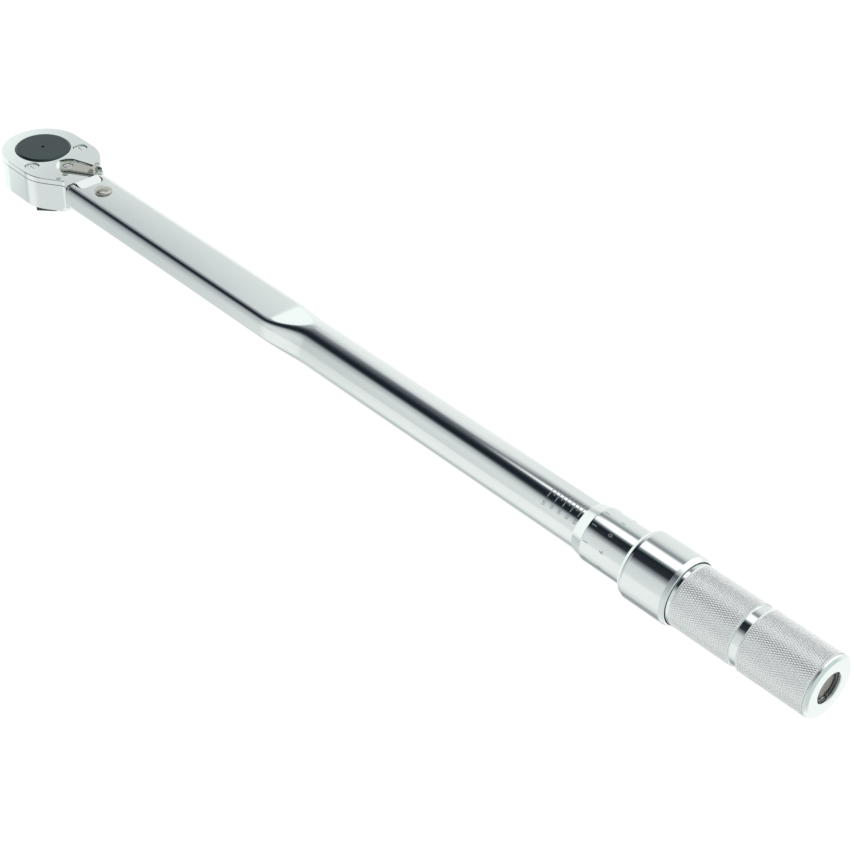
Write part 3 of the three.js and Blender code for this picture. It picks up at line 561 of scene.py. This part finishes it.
def combined(name, base, joins=(), cuts=(), bevel=0.0, bevel_degrees=40):
    """Joins and cuts solids with exact booleans, then rounds the edges that are left sharp."""
    helpers = []

    def helper(label, shape):
        mesh = mesh_from(label, *shape)
        bm = bmesh.new()
        bm.from_mesh(mesh)
        bmesh.ops.recalc_face_normals(bm, faces=bm.faces)
        bm.to_mesh(mesh)
        bm.free()
        made = bpy.data.objects.new(label, mesh)
        bpy.context.scene.collection.objects.link(made)
        helpers.append(made)
        return made

    target = helper(name + "_base", base)
    for operation, shapes in (("UNION", joins), ("DIFFERENCE", cuts)):
        for i, shape in enumerate(shapes):
            modifier = target.modifiers.new(f"{operation}_{i}", "BOOLEAN")
            modifier.operation = operation
            modifier.solver = "EXACT"
            modifier.object = helper(f"{name}_{operation}_{i}", shape)
    if bevel:
        rounding = target.modifiers.new("rounding", "BEVEL")
        rounding.width = bevel
        rounding.segments = 3
        rounding.limit_method = "ANGLE"
        rounding.angle_limit = math.radians(bevel_degrees)
        rounding.use_clamp_overlap = True
    graph = bpy.context.evaluated_depsgraph_get()
    mesh = bpy.data.meshes.new_from_object(target.evaluated_get(graph))
    mesh.name = name
    for made in helpers:
        bpy.data.objects.remove(made)
    return mesh


# ---- Tube ----


def tube_section(x, blend, inset):
    """One cross-section: four round corners joined by flats that are very slightly crowned."""
    corner_y = (OVAL_HALF_WIDTH - OVAL_CORNER) * (1 - blend)
    corner_z = (OVAL_HALF_HEIGHT - OVAL_CORNER) * (1 - blend)
    radius = OVAL_CORNER + (TUBE_RADIUS - OVAL_CORNER) * blend - inset
    corner_steps = 31
    flat_steps = 12
    edge_degrees = 0.4
    crown = 0.03 * (1 - blend)
    ring = []
    sides = ((1, 1), (-1, 1), (-1, -1), (1, -1))
    for quadrant, (side_y, side_z) in enumerate(sides):
        for i in range(corner_steps + 1):
            sweep = edge_degrees + (90 - 2 * edge_degrees) * i / corner_steps
            angle = math.radians(90 * quadrant + sweep)
            ring.append((side_y * corner_y + radius * math.cos(angle),
                         side_z * corner_z + radius * math.sin(angle)))
        last = ring[-1]
        next_y, next_z = sides[(quadrant + 1) % 4]
        angle = math.radians(90 * (quadrant + 1) + edge_degrees)
        following = (next_y * corner_y + radius * math.cos(angle),
                     next_z * corner_z + radius * math.sin(angle))
        length = math.dist(last, following)
        facing = math.radians(90 * (quadrant + 1))
        out = Vector((math.cos(facing), math.sin(facing)))
        for i in range(1, flat_steps):
            t = i / flat_steps
            rise = crown * length * t * (1 - t)
            ring.append((last[0] + (following[0] - last[0]) * t + out.x * rise,
                         last[1] + (following[1] - last[1]) * t + out.y * rise))
    return [(x, y, AXIS_Z + z) for y, z in ring]


def smooth_step(t):
    return t * t * (3 - 2 * t)


def make_tube():
    front, rear = TUBE_LOW.x, TUBE_HIGH.x
    lip = 0.3 * MM
    blend_steps = 28
    stations = [(front + lip, 0)]
    for i in range(blend_steps + 1):
        t = i / blend_steps
        stations.append((OVAL_END + (ROUND_START - OVAL_END) * t, smooth_step(t)))
    stations.append((rear - lip, 1))
    outside = [tube_section(x, blend, 0) for x, blend in stations]
    inside = [tube_section(x, blend, TUBE_WALL) for x, blend in reversed(stations)]
    rear_lip = [tube_section(rear, 1, lip), tube_section(rear, 1, TUBE_WALL - lip)]
    front_lip = [tube_section(front, 0, TUBE_WALL - lip), tube_section(front, 0, lip)]
    shell = skin([*outside, *rear_lip, *inside, *front_lip])
    hole = turned_z([(0, PIN_BORE), (ABOVE_ALL, PIN_BORE)], PIVOT_X)
    side = NOTCH_HALF_WIDTH - NOTCH_CORNER
    right = [(front - CLEAR, -NOTCH_HALF_WIDTH),
             *arc(NOTCH_REAR - NOTCH_CORNER, -side, NOTCH_CORNER, -90, 0, 14)]
    notch = prism([*right, *mirrored(right)], AXIS_Z, AXIS_Z + OVAL_HALF_HEIGHT + CLEAR)
    mesh = combined("tube_shell", shell, cuts=[hole, notch])
    finish_mesh("tube_shell", mesh, "polished_chrome", "tube", nodes=["tube"])


def make_pivot_pin():
    head = 5.2 * MM
    face = OVAL_HALF_HEIGHT + GAP
    dome = [(face, head)]
    dome_height = PIN_HIGH.z - AXIS_Z - face
    for i in range(13):
        t = math.radians(90 * i / 13)
        dome.append((face + 0.25 * dome_height + 0.75 * dome_height * math.sin(t), head * math.cos(t)))
    dome.append((face + dome_height, 0.05 * MM))
    lower = [(-z, r) for z, r in reversed(dome)]
    profile = [*lower, (-face, 4 * MM), (face, 4 * MM), *dome]
    shape = turned_z([(AXIS_Z + z, r) for z, r in profile], PIVOT_X)
    finish_mesh("pivot_rivet", mesh_from("pivot_rivet", *shape), "nickel", "tube", nodes=["pivot_pin"])


# ---- Head ----


def head_outline(rear):
    normal = 90 - TAPER_DEGREES
    slope = math.radians(TAPER_DEGREES)
    across = NECK_HALF_WIDTH + NECK_FILLET_RADIUS - (HEAD_RADIUS - SHOULDER_RADIUS)
    both_radii = SHOULDER_RADIUS + NECK_FILLET_RADIUS
    fillet_x = SHOULDER_X + (both_radii - across * math.cos(slope)) / math.sin(slope)
    right = [
        *arc(0, 0, HEAD_RADIUS, -180, -90, 48),
        *arc(SHOULDER_X, SHOULDER_RADIUS - HEAD_RADIUS, SHOULDER_RADIUS, -90, -normal, 24),
        *arc(fillet_x, -NECK_HALF_WIDTH - NECK_FILLET_RADIUS, NECK_FILLET_RADIUS, 180 - normal, 90, 12),
        (rear, -NECK_HALF_WIDTH),
    ]
    return [*right, *mirrored(right)[:-1]]


def cylinder_z(radius, low, high, x=0.0, y=0.0, around=64):
    return turned_z([(low, radius), (high, radius)], x, y, around)


def box_solid(low, high):
    corners = [(low[0], low[1]), (high[0], low[1]), (high[0], high[1]), (low[0], high[1])]
    return capped([[(x, y, z) for x, y in corners] for z in (low[2], high[2])])


def neck_undercut():
    wall = UNDERCUT_WALL
    bottom = BODY_LOW.z
    neck_bottom = AXIS_Z - OVAL_HALF_HEIGHT
    radius = neck_bottom - bottom
    below = bottom - 3 * MM
    rear = 60 * MM
    half_width = 40 * MM
    curve = arc(wall + radius, bottom, radius, 180, 90, 12)
    return side_solid([*curve, (rear, neck_bottom), (rear, below), (wall, below)], half_width)


def arm_solid():
    """The arm inside the tube, which narrows towards the click mechanism."""
    broad, slim, end = 9 * MM, 5 * MM, 4.2 * MM
    broad_rear, slim_front = 80 * MM, 240 * MM
    side = [(UNDERCUT_WALL, -broad), (broad_rear, -broad), (slim_front, -slim), (BODY_HIGH.x, -end)]
    return prism([*side, *mirrored(side)], AXIS_Z - ARM_HALF_HEIGHT, AXIS_Z + ARM_HALF_HEIGHT)


def ramp_tongue():
    """The tongue behind the plate, round-cornered in plan, that stands in the tube's notch."""
    side = RAMP_HALF_WIDTH - RAMP_CORNER
    right = [(UNDERCUT_WALL, -RAMP_HALF_WIDTH), *arc(RAMP_REAR - RAMP_CORNER, -side, RAMP_CORNER, -90, 0, 12)]
    return prism([*right, *mirrored(right)], AXIS_Z, AXIS_Z + RAMP_TOP)


def above_ramp(body_top):
    """What is cut away over the tongue: flush under the plate, then a slope behind it."""
    front = PLATE_REAR + GAP
    start = NECK_REAR - 10 * MM
    ceiling = AXIS_Z + 40 * MM
    rear = RAMP_REAR + CLEAR
    toe = AXIS_Z + RAMP_TOE
    half_width = 12 * MM
    return side_solid([(start, body_top), (front, body_top), (front, AXIS_Z + RAMP_TOP), (RAMP_REAR, toe),
                       (rear, toe), (rear, ceiling), (start, ceiling)], half_width)


def places_of(*names):
    places = []
    for node in names:
        low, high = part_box(node)
        places.append(((low.x + high.x) / 2, (low.y + high.y) / 2))
    return places


def make_head_body():
    cavity_floor = GEAR_LOW.z + GEAR_POCKET_FLOOR - GAP
    above = PLATE_HIGH.z + CLEAR
    body_top = PLATE_LOW.z - GAP
    slab = filleted_slab(head_outline(NECK_REAR), BODY_LOW.z, body_top, 1.1 * MM, 0.15 * MM)
    cuts = [
        neck_undercut(),
        cylinder_z(GEAR_POCKET_RADIUS, cavity_floor, above, around=96),
        cylinder_z(BUSH_BORE, BODY_LOW.z - CLEAR, AXIS_Z, around=96),
        box_solid((PAWL_POCKET_FRONT, -PAWL_POCKET_HALF_WIDTH, cavity_floor),
                  (LEVER_X - 1 * MM, PAWL_POCKET_HALF_WIDTH, above)),
        cylinder_z(SHAFT_BORE, AXIS_Z - 4.5 * MM, above, LEVER_X),
        cylinder_z(PIN_BORE, 0, ABOVE_ALL, PIVOT_X),
        above_ramp(body_top),
    ]
    mesh = combined("head_forging", slab, joins=[arm_solid(), ramp_tongue()], cuts=cuts, bevel=0.25 * MM)
    finish_mesh("head_forging", mesh, "polished_chrome", "head", nodes=["head_body"])


def lever_recess(above):
    """The lever's recess: round at its hub, and flaring out through the plate's rear edge."""
    floor = AXIS_Z + RECESS_FLOOR
    rear = PLATE_REAR + CLEAR
    flare = math.radians(RECESS_FLARE_DEGREES)
    start_x = LEVER_X - RECESS_RADIUS * math.sin(flare)
    start_y = RECESS_RADIUS * math.cos(flare)
    rear_y = start_y + (rear - start_x) * math.tan(flare)
    round_end = arc(LEVER_X, 0, RECESS_RADIUS, 90 + RECESS_FLARE_DEGREES, 270 - RECESS_FLARE_DEGREES, 40)
    return prism([*round_end, (rear, -rear_y), (rear, rear_y)], floor, above)


def make_cover_plate():
    above = PLATE_HIGH.z + CLEAR
    below = PLATE_LOW.z - 1 * MM
    over_tube = AXIS_Z + OVAL_HALF_HEIGHT + GAP
    past_side = 30 * MM
    past_rear = PLATE_REAR + CLEAR
    cuts = [
        cylinder_z(DISC_RADIUS + GAP, below, above, around=AROUND),
        lever_recess(above),
        cylinder_z(SHAFT_BORE, below, above, LEVER_X),
        box_solid((NECK_REAR, RAMP_HALF_WIDTH, below), (past_rear, past_side, over_tube)),
        box_solid((NECK_REAR, -past_side, below), (past_rear, -RAMP_HALF_WIDTH, over_tube)),
    ]
    for x, y in places_of("cover_screw_1", "cover_screw_2"):
        cuts.append(cylinder_z(SCREW_HEAD_RADIUS + GAP, SCREW_TOP - SCREW_HEAD_DEPTH - GAP, above, x, y))
        cuts.append(cylinder_z(SCREW_RADIUS + GAP, below, above, x, y, 32))
    for x, y in places_of("dowel_pin_1", "dowel_pin_2"):
        cuts.append(cylinder_z(DOWEL_BORE, below, above, x, y, 32))
    for side in (-1, 1):
        cuts.append(cylinder_z(STOP_HOLE_RADIUS, below, above, LEVER_X + STOP_HOLE_BACK,
                               side * STOP_HOLE_SIDE, 32))
    slab = filleted_slab(head_outline(PLATE_REAR), PLATE_LOW.z, PLATE_HIGH.z, 0.15 * MM, 0.6 * MM)
    mesh = combined("top_plate", slab, cuts=cuts, bevel=0.12 * MM)
    finish_mesh("top_plate", mesh, "polished_chrome", "head", nodes=["cover_plate"])


def make_cover_screws():
    top = SCREW_TOP
    head_low = top - SCREW_HEAD_DEPTH
    edge = SCREW_HEAD_RADIUS
    for i, (x, y) in enumerate(places_of("cover_screw_1", "cover_screw_2"), 1):
        profile = [(AXIS_Z, SCREW_RADIUS), (head_low, SCREW_RADIUS), (head_low, edge - 0.2 * MM),
                   (head_low + 0.2 * MM, edge), (top - 0.3 * MM, edge), (top, edge - 0.35 * MM)]
        slot = box_solid((x - 2.2 * MM, y - 0.4 * MM, top - 0.4 * MM),
                         (x + 2.2 * MM, y + 0.4 * MM, top + 1 * MM))
        mesh = combined(f"slotted_screw_{i}", turned_z(profile, x, y), cuts=[slot], bevel=0.08 * MM)
        finish_mesh(f"slotted_screw_{i}", mesh, "satin_chrome", "head", nodes=[f"cover_screw_{i}"])


# ---- Drive ----


def gear_outline():
    pitch = 360 / GEAR_TEETH
    corners = ((-0.42, GEAR_ROOT_RADIUS), (-0.1, GEAR_TIP_RADIUS),
               (0.1, GEAR_TIP_RADIUS), (0.42, GEAR_ROOT_RADIUS))
    outline = []
    for tooth in range(GEAR_TEETH):
        for share, radius in corners:
            angle = math.radians(pitch * (tooth + share))
            outline.append((radius * math.cos(angle), radius * math.sin(angle)))
    return outline


def rounded_square(half, corner, steps=6):
    inner = half - corner
    outline = []
    for x, y, start in ((inner, inner, 0), (-inner, inner, 90), (-inner, -inner, 180), (inner, -inner, 270)):
        outline += arc(x, y, corner, start, start + 90, steps)
    return outline


def make_drive():
    gear_bottom = AXIS_Z - 6 * MM
    gear_top = PLATE_LOW.z - 2 * GAP
    top = GEAR_HIGH.z
    teeth = capped([[(x, y, z) for x, y in gear_outline()] for z in (gear_bottom, gear_top)])
    disc = turned_z([(gear_top - 1 * MM, DISC_RADIUS), (top - 0.8 * MM, DISC_RADIUS),
                     (top - 0.65 * MM, DISC_RADIUS - 0.08 * MM),
                     (top - 0.08 * MM, DISC_FACE_RADIUS + 0.12 * MM), (top, DISC_FACE_RADIUS - 0.05 * MM)],
                    around=AROUND)
    shoulder_low = BODY_LOW.z - 2 * MM
    shoulder = turned_z([(shoulder_low, DRIVE_SHOULDER - 0.5 * MM), (shoulder_low + 0.5 * MM, DRIVE_SHOULDER),
                         (gear_bottom + 1 * MM, DRIVE_SHOULDER)], around=96)
    square = filleted_slab(rounded_square(DRIVE_HALF, 0.7 * MM), GEAR_LOW.z, gear_bottom, 0.5 * MM, 0.1 * MM)
    ball_low, ball_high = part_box("detent_ball")
    ball_z = (ball_low.z + ball_high.z) / 2
    bore = 2.7 * MM
    detent_hole = capped([[(bore * math.cos(a), y, ball_z + bore * math.sin(a))
                           for a in (2 * math.pi * i / 40 for i in range(40))]
                          for y in (-10 * MM, 3 * MM)])
    square, detent_hole = (turned(shape, DRIVE_TURN) for shape in (square, detent_hole))
    centre = turned_z([(top - 1.9 * MM, 0.3 * MM), (top - 1.3 * MM, 0.9 * MM), (top - 0.15 * MM, 0.95 * MM),
                       (top + 0.3 * MM, 1.4 * MM)], around=32)
    mesh = combined("drive_forging", teeth, joins=[disc, shoulder, square], cuts=[detent_hole, centre])
    finish_mesh("drive_forging", mesh, "black_oxide", "drive", nodes=["drive_gear"])


# ---- Reversing lever ----


def make_lever():
    lever_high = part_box("reverse_lever")[1]
    hub = 5 * MM
    tip = 18 * MM
    tip_half = 3.3 * MM
    corner = 1.1 * MM
    tab_top = lever_high.z
    top = tab_top - 2.7 * MM
    underside = AXIS_Z + RECESS_FLOOR + GAP
    left = [*arc(tip - corner, tip_half - corner, corner, 0, 90, 6), (2.6 * MM, 4.2 * MM)]
    outline = [*left, *arc(0, 0, hub, 75, 285, 60), *mirrored(left)]
    arm = filleted_slab(outline, underside, top, 0.1 * MM, 0.25 * MM)
    tab_curve = [(13.4 * MM, top - 0.3 * MM), (14.2 * MM, top + 0.1 * MM), (14.9 * MM, top + 1.0 * MM),
                 (15.6 * MM, tab_top - 0.6 * MM), (16.2 * MM, tab_top - 0.1 * MM), (16.8 * MM, tab_top),
                 (17.6 * MM, tab_top - 0.1 * MM), (18 * MM, tab_top - 0.6 * MM), (17.9 * MM, underside),
                 (14 * MM, underside)]
    bore = 3.1 * MM
    hole = turned_z([(0, bore), (ABOVE_ALL, bore)])
    mesh = combined("thumb_lever", arm, joins=[side_solid(tab_curve, 3 * MM)], cuts=[hole], bevel=0.14 * MM)
    mesh.transform(Matrix.Translation((LEVER_X, 0, 0)) @ Matrix.Rotation(LEVER_REST, 4, "Z"))
    finish_mesh("thumb_lever", mesh, "nickel", "lever", nodes=["reverse_lever"])


def make_lever_rivet():
    """The selector shaft, whose domed top shows in the middle of the lever's hub."""
    radius = 3 * MM
    neck = 2.9 * MM
    bottom, top = SHAFT_LOW.z, SHAFT_HIGH.z
    neck_foot = PLATE_LOW.z - GAP
    dome = [(top - 0.7 * MM * (1 - math.sin(t)), neck * math.cos(t))
            for t in (math.radians(88 * i / 12) for i in range(13))]
    shaft = turned_z([(bottom, radius), (neck_foot, radius), (neck_foot, neck), *dome])
    plunger_low, plunger_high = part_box("selector_plunger")
    middle = (plunger_low.z + plunger_high.z) / 2
    bore = 1.5 * MM
    circle = [2 * math.pi * i / 32 for i in range(32)]
    hole = capped([[(x, bore * math.cos(a), middle + bore * math.sin(a)) for a in circle]
                   for x in (-10 * MM, 1.8 * MM)])
    mesh = combined("lever_rivet", shaft, cuts=[hole])
    mesh.transform(Matrix.Translation((LEVER_X, 0, 0)) @ Matrix.Rotation(LEVER_REST, 4, "Z"))
    finish_mesh("lever_rivet", mesh, "plain_steel", "lever", nodes=["selector_shaft"])


# ---- Handle ----


def make_thimble():
    front, rear = THIMBLE_LOW.x, THIMBLE_HIGH.x
    bore = 13 * MM
    cone_end = front + 6.5 * MM
    profile = [(front, bore), (front, 13.25 * MM), (cone_end, THIMBLE_RADIUS), (rear, THIMBLE_RADIUS),
               (rear, bore)]
    lathe_x("thimble_barrel", profile, 0.25 * MM, "polished_chrome", "handle", nodes=["thimble"])


def make_lock_sleeve():
    front, rear = SLEEVE_LOW.x, SLEEVE_HIGH.x
    bore = 16.8 * MM
    outer = SLEEVE_RADIUS
    front_bore, land_bore = 14.9 * MM, 15.9 * MM
    throat_rear, land_front, land_rear = 492 * MM, 498 * MM, 501 * MM
    profile = [(front, front_bore), (front, 16.9 * MM), (front + 0.9 * MM, 17.7 * MM),
               (front + 1.9 * MM, outer - 0.2 * MM), (front + 3.4 * MM, outer), (rear - 2.6 * MM, outer),
               (rear - 0.4 * MM, 17.4 * MM), (rear, 17.1 * MM), (rear, bore),
               (land_rear, bore), (land_rear, land_bore), (land_front, land_bore), (land_front, bore),
               (throat_rear, bore), (throat_rear, front_bore)]
    lathe_x("lock_collar", profile, 0.25 * MM, "polished_chrome", "lock_sleeve", nodes=["lock_sleeve"])


def knurl_height(turn, along):
    """Height of diamond knurling, 0 in a groove and 1 on a peak, from two crossing sets of grooves."""
    first = abs(((turn + along) % 1) - 0.5) * 2
    second = abs(((turn - along) % 1) - 0.5) * 2
    return min(first, second)


def knurled_band(name, front, rear, root):
    """A knurled sleeve over the grip's core, with grooves that die out at both ends."""
    teeth = round(2 * math.pi * GRIP_RADIUS / KNURL_PITCH)
    around = teeth * 4
    steps = round((rear - front) / KNURL_LENGTH) * 4
    fade = 0.6 * MM
    rings = []
    for s in range(steps + 1):
        x = front + (rear - front) * s / steps
        edge = min(1.0, (x - front) / fade, (rear - x) / fade)
        ring = []
        for i in range(around):
            angle = 2 * math.pi * i / around
            height = knurl_height(i / 4, s / 4)
            radius = GRIP_RADIUS - 0.05 * MM * (1 - edge) - KNURL_DEPTH * (1 - height) * edge
            ring.append((x, radius * math.sin(angle), AXIS_Z + radius * math.cos(angle)))
        rings.append(ring)
    inner = [round_x(x, root, around) for x in (rear, front)]
    mesh = mesh_from(name, *skin([*rings, *inner]))
    finish_mesh(name, mesh, "knurled_steel", "handle", slot="satin_chrome", sharp_degrees=25)


def make_grip():
    front, rear = GRIP_LOW.x, GRIP_HIGH.x
    core = GRIP_RADIUS - 0.65 * MM
    groove_front = front + 39.5 * MM
    groove_rear = groove_front + 4.9 * MM
    cap_front = rear - 1.9 * MM
    land_rear = front + 5 * MM
    ring_front, ring_rear = rear - 2.9 * MM, rear - 1.5 * MM
    pocket_front, hollow_rear = rear - 15 * MM, rear - 23 * MM
    front_bore = 14.9 * MM
    groove = 15.6 * MM
    end_bore = 8.1 * MM
    ring_groove = 8.7 * MM
    screw_bore = 5.3 * MM
    hollow = 13.1 * MM
    profile = [(front, front_bore), (front, GRIP_RADIUS - 0.1 * MM), (land_rear, GRIP_RADIUS - 0.1 * MM),
               (land_rear, core), (groove_front, core), (groove_front + 0.3 * MM, groove),
               (groove_rear - 0.3 * MM, groove), (groove_rear, core), (cap_front - 0.5 * MM, core),
               (cap_front - 0.5 * MM, GRIP_RADIUS - 0.5 * MM), (cap_front, GRIP_RADIUS - 0.5 * MM),
               (cap_front, GRIP_RADIUS), (cap_front + 0.9 * MM, GRIP_RADIUS - 0.25 * MM),
               (rear - 0.35 * MM, GRIP_RADIUS - 1.1 * MM), (rear, GRIP_RADIUS - 2 * MM),
               (rear, end_bore + 0.3 * MM), (rear - 0.4 * MM, end_bore), (ring_rear, end_bore),
               (ring_rear, ring_groove), (ring_front, ring_groove), (ring_front, end_bore),
               (pocket_front, end_bore), (pocket_front, screw_bore), (hollow_rear, screw_bore),
               (hollow_rear, hollow), (front + 8 * MM, hollow), (front + 8 * MM, front_bore)]
    lathe_x("grip_core", profile, 0.12 * MM, "polished_chrome", "handle", nodes=["grip"],
            slot="satin_chrome")
    root = core + 0.02 * MM
    knurled_band("knurl_front", land_rear + 0.05 * MM, groove_front, root)
    knurled_band("knurl_rear", groove_rear, cap_front - 0.5 * MM, root)


def make_end_plug():
    front, rear = PLUG_LOW.x, PLUG_HIGH.x
    edge = PLUG_HIGH.y
    rings = [round_x(front, edge), round_x(rear - 0.5 * MM, edge), round_x(rear - 0.1 * MM, edge - 0.4 * MM),
             round_x(rear - 0.1 * MM, 5.6 * MM), round_x(rear - 0.5 * MM, 5.2 * MM),
             round_x(rear - 0.5 * MM, 1.4 * MM), round_x(rear - 0.9 * MM, 0.9 * MM)]
    mesh = mesh_from("end_disc", *capped(rings))
    finish_mesh("end_disc", mesh, "plug_grey", "handle", nodes=["end_plug"])


def make_snap_ring():
    """An open ring in the grip's end, with its gap at the bottom and a lug at each end."""
    front, rear = RING_LOW.x, RING_HIGH.x
    inner, outer = 7.0 * MM, 8.4 * MM
    lug_width = 1.0 * MM
    lug_start = 150
    gap_degrees = 15
    steps = 80
    rings = []
    for s in range(steps + 1):
        degrees = -180 + gap_degrees + (360 - 2 * gap_degrees) * s / steps
        angle = math.radians(degrees)
        lug = max(0.0, (abs(degrees) - lug_start) / 15)
        inside = inner - lug_width * min(1.0, lug)
        rings.append([(x, r * math.sin(angle), AXIS_Z + r * math.cos(angle))
                      for x, r in ((front, inside), (front, outer), (rear, outer), (rear, inside))])
    mesh = mesh_from("retaining_ring", *capped(rings))
    finish_mesh("retaining_ring", mesh, "spring_steel", "handle", nodes=["snap_ring"])


# ---- Springs ----


def coil(front, rear, radius, wire, turns, first=0.0, last=1.0):
    """A stretch of a round-wire spring along X about the origin, with nearly closed end turns."""
    around = 10
    steps_per_turn = 32
    closed = 0.7 / turns
    closed_rise = 1.2 * wire
    low, high = front + wire, rear - wire

    def place(t):
        if t < closed:
            rise = closed_rise * t / closed
        elif t > 1 - closed:
            rise = high - low - closed_rise * (1 - t) / closed
        else:
            rise = closed_rise + (high - low - 2 * closed_rise) * (t - closed) / (1 - 2 * closed)
        return low + rise

    steps = round(turns * steps_per_turn * (last - first))
    rings = []
    for s in range(steps + 1):
        t = first + (last - first) * s / steps
        turn = 2 * math.pi * turns * t
        outward = Vector((0, math.sin(turn), math.cos(turn)))
        centre = Vector((place(t), 0, 0)) + outward * radius
        rings.append([centre + outward * wire * math.cos(a) + Vector((wire * math.sin(a), 0, 0))
                      for a in (2 * math.pi * i / around for i in range(around))])
    return capped(rings)


def make_spring(name, shape, nodes=(), place=None):
    """A spring, set in place in the wrench's frame and carried by no body."""
    mesh = mesh_from(name, *shape)
    mesh.transform(place or Matrix.Translation((0, 0, AXIS_Z)))
    piece = finish_mesh(name, mesh, "spring_steel", None, nodes=nodes)
    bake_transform(piece)


def make_springs():
    low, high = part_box("main_spring")
    front, rear = low.x, high.x
    middle = (front + rear) / 2
    wire = 1.9 * MM
    radius = high.y - wire
    spring = (front, rear, radius, wire, 9)
    ends = [Vector((x, 0, AXIS_Z)) for x in (front, middle, rear)]
    make_spring("click_spring_front", coil(*spring, 0, 0.5),
                ["main_spring"])
    make_spring("click_spring_rear", coil(*spring, 0.5, 1))

    low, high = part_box("lock_spring")
    wire = 0.6 * MM
    shape = coil(low.x, high.x, high.y - wire, wire, 3)
    make_spring("sleeve_spring", shape,
                ["lock_spring"])

    wire = 0.2 * MM
    place = Matrix.Translation((LEVER_X, 0, AXIS_Z)) @ Matrix.Rotation(LEVER_REST, 4, "Z")
    ends = (-1.4 * MM, 1.7 * MM)
    shape = coil(*ends, 0.9 * MM, wire, 3)
    make_spring("selector_coil", shape, ["selector_spring"], place)


# ---- Scale marks ----


def wrapped(flat_mesh, x, radius, degrees, turn_text):
    """Bends a flat mesh, drawn in XY with its thickness in Z, round the tube's axis at a place on it."""
    bm = bmesh.new()
    bm.from_mesh(flat_mesh)
    step = 0.4 * MM
    for axis in (Vector((1, 0, 0)), Vector((0, 1, 0))):
        reach = max(abs(v.co.dot(axis)) for v in bm.verts)
        for k in range(-int(reach / step) - 1, int(reach / step) + 2):
            bmesh.ops.bisect_plane(bm, geom=[*bm.verts, *bm.edges, *bm.faces], plane_co=axis * k * step,
                                   plane_no=axis)
    for vert in bm.verts:
        along, across = (vert.co.y, -vert.co.x) if turn_text else (vert.co.x, vert.co.y)
        angle = math.radians(degrees) + across / radius
        reach = radius + vert.co.z
        vert.co = Vector((x + along, reach * math.sin(angle), AXIS_Z + reach * math.cos(angle)))
    bm.to_mesh(flat_mesh)
    bm.free()
    return flat_mesh


def flat_text(words, size):
    curve = bpy.data.curves.new("words", "FONT")
    curve.body = words
    curve.size = size
    curve.align_x = "CENTER"
    curve.align_y = "CENTER"
    curve.extrude = 0.03 * MM
    curve.resolution_u = 4
    written = bpy.data.objects.new("words", curve)
    bpy.context.scene.collection.objects.link(written)
    graph = bpy.context.evaluated_depsgraph_get()
    mesh = bpy.data.meshes.new_from_object(written.evaluated_get(graph))
    bpy.data.objects.remove(written)
    return mesh


def flat_bar(length, width):
    thick = 0.03 * MM
    return mesh_from("bar", *box_solid((-length / 2, -width / 2, -thick), (length / 2, width / 2, thick)))


def merged(name, meshes, body, slot):
    bm = bmesh.new()
    for mesh in meshes:
        bm.from_mesh(mesh)
    mesh = bpy.data.meshes.new(name)
    bm.to_mesh(mesh)
    bm.free()
    finish_mesh(name, mesh, "etched_mark", body, slot=slot, sharp_degrees=50)


def make_tube_scale():
    """Cross lines and numbers along the tube, which the thimble's edge is read against."""
    first = THIMBLE_LOW.x - 22 * MM
    pitch = 2.5 * MM
    marks = []
    count = 18
    for i in range(count):
        x = first + pitch * i
        wide = i % 2 == 0
        span = 30 if wide else 20
        length = TUBE_RADIUS * math.radians(span)
        marks.append(wrapped(flat_bar(0.45 * MM, length), x, TUBE_RADIUS, -8 - span / 2, False))
        if wide:
            marks.append(wrapped(flat_text(str(100 - 5 * i), 2.6 * MM), x, TUBE_RADIUS, -50, True))
    length = pitch * (count - 1)
    marks.append(wrapped(flat_bar(length, 0.3 * MM), first + length / 2, TUBE_RADIUS, -8, False))
    merged("tube_scale", marks, "tube", "polished_chrome")


def make_thimble_scale():
    """Numbers round the thimble, with a short line ahead of each one, just behind the cone."""
    number_x = THIMBLE_LOW.x + 19 * MM
    line_x = THIMBLE_LOW.x + 9 * MM
    marks = []
    for i in range(10):
        degrees = -33.5 + 36 * i
        marks.append(wrapped(flat_text(str(i), 3.4 * MM), number_x, THIMBLE_RADIUS, degrees, True))
        marks.append(wrapped(flat_bar(3 * MM, 0.35 * MM), line_x, THIMBLE_RADIUS, degrees, False))
    merged("thimble_scale", marks, "handle", "polished_chrome")


# ---- CAD nodes that keep their own shape ----


def paint_cad_nodes():
    slots = {entry["node"]: entry["material_slot"] for entry in frame["record"]["subparts"]}
    for name, node in frame["nodes"].items():
        node.data.materials.clear()
        node.data.materials.append(MATERIALS[slots[name]])


MATERIALS = make_materials()
bpy.context.scene.view_settings.view_transform = "Standard"
make_camera()
make_world()
make_floor()
make_key_light()
paint_cad_nodes()
make_tube()
make_pivot_pin()
make_head_body()
make_cover_plate()
make_cover_screws()
make_drive()
make_lever()
make_lever_rivet()
make_thimble()
make_lock_sleeve()
make_grip()
make_end_plug()
make_snap_ring()
make_springs()
make_tube_scale()
make_thimble_scale()
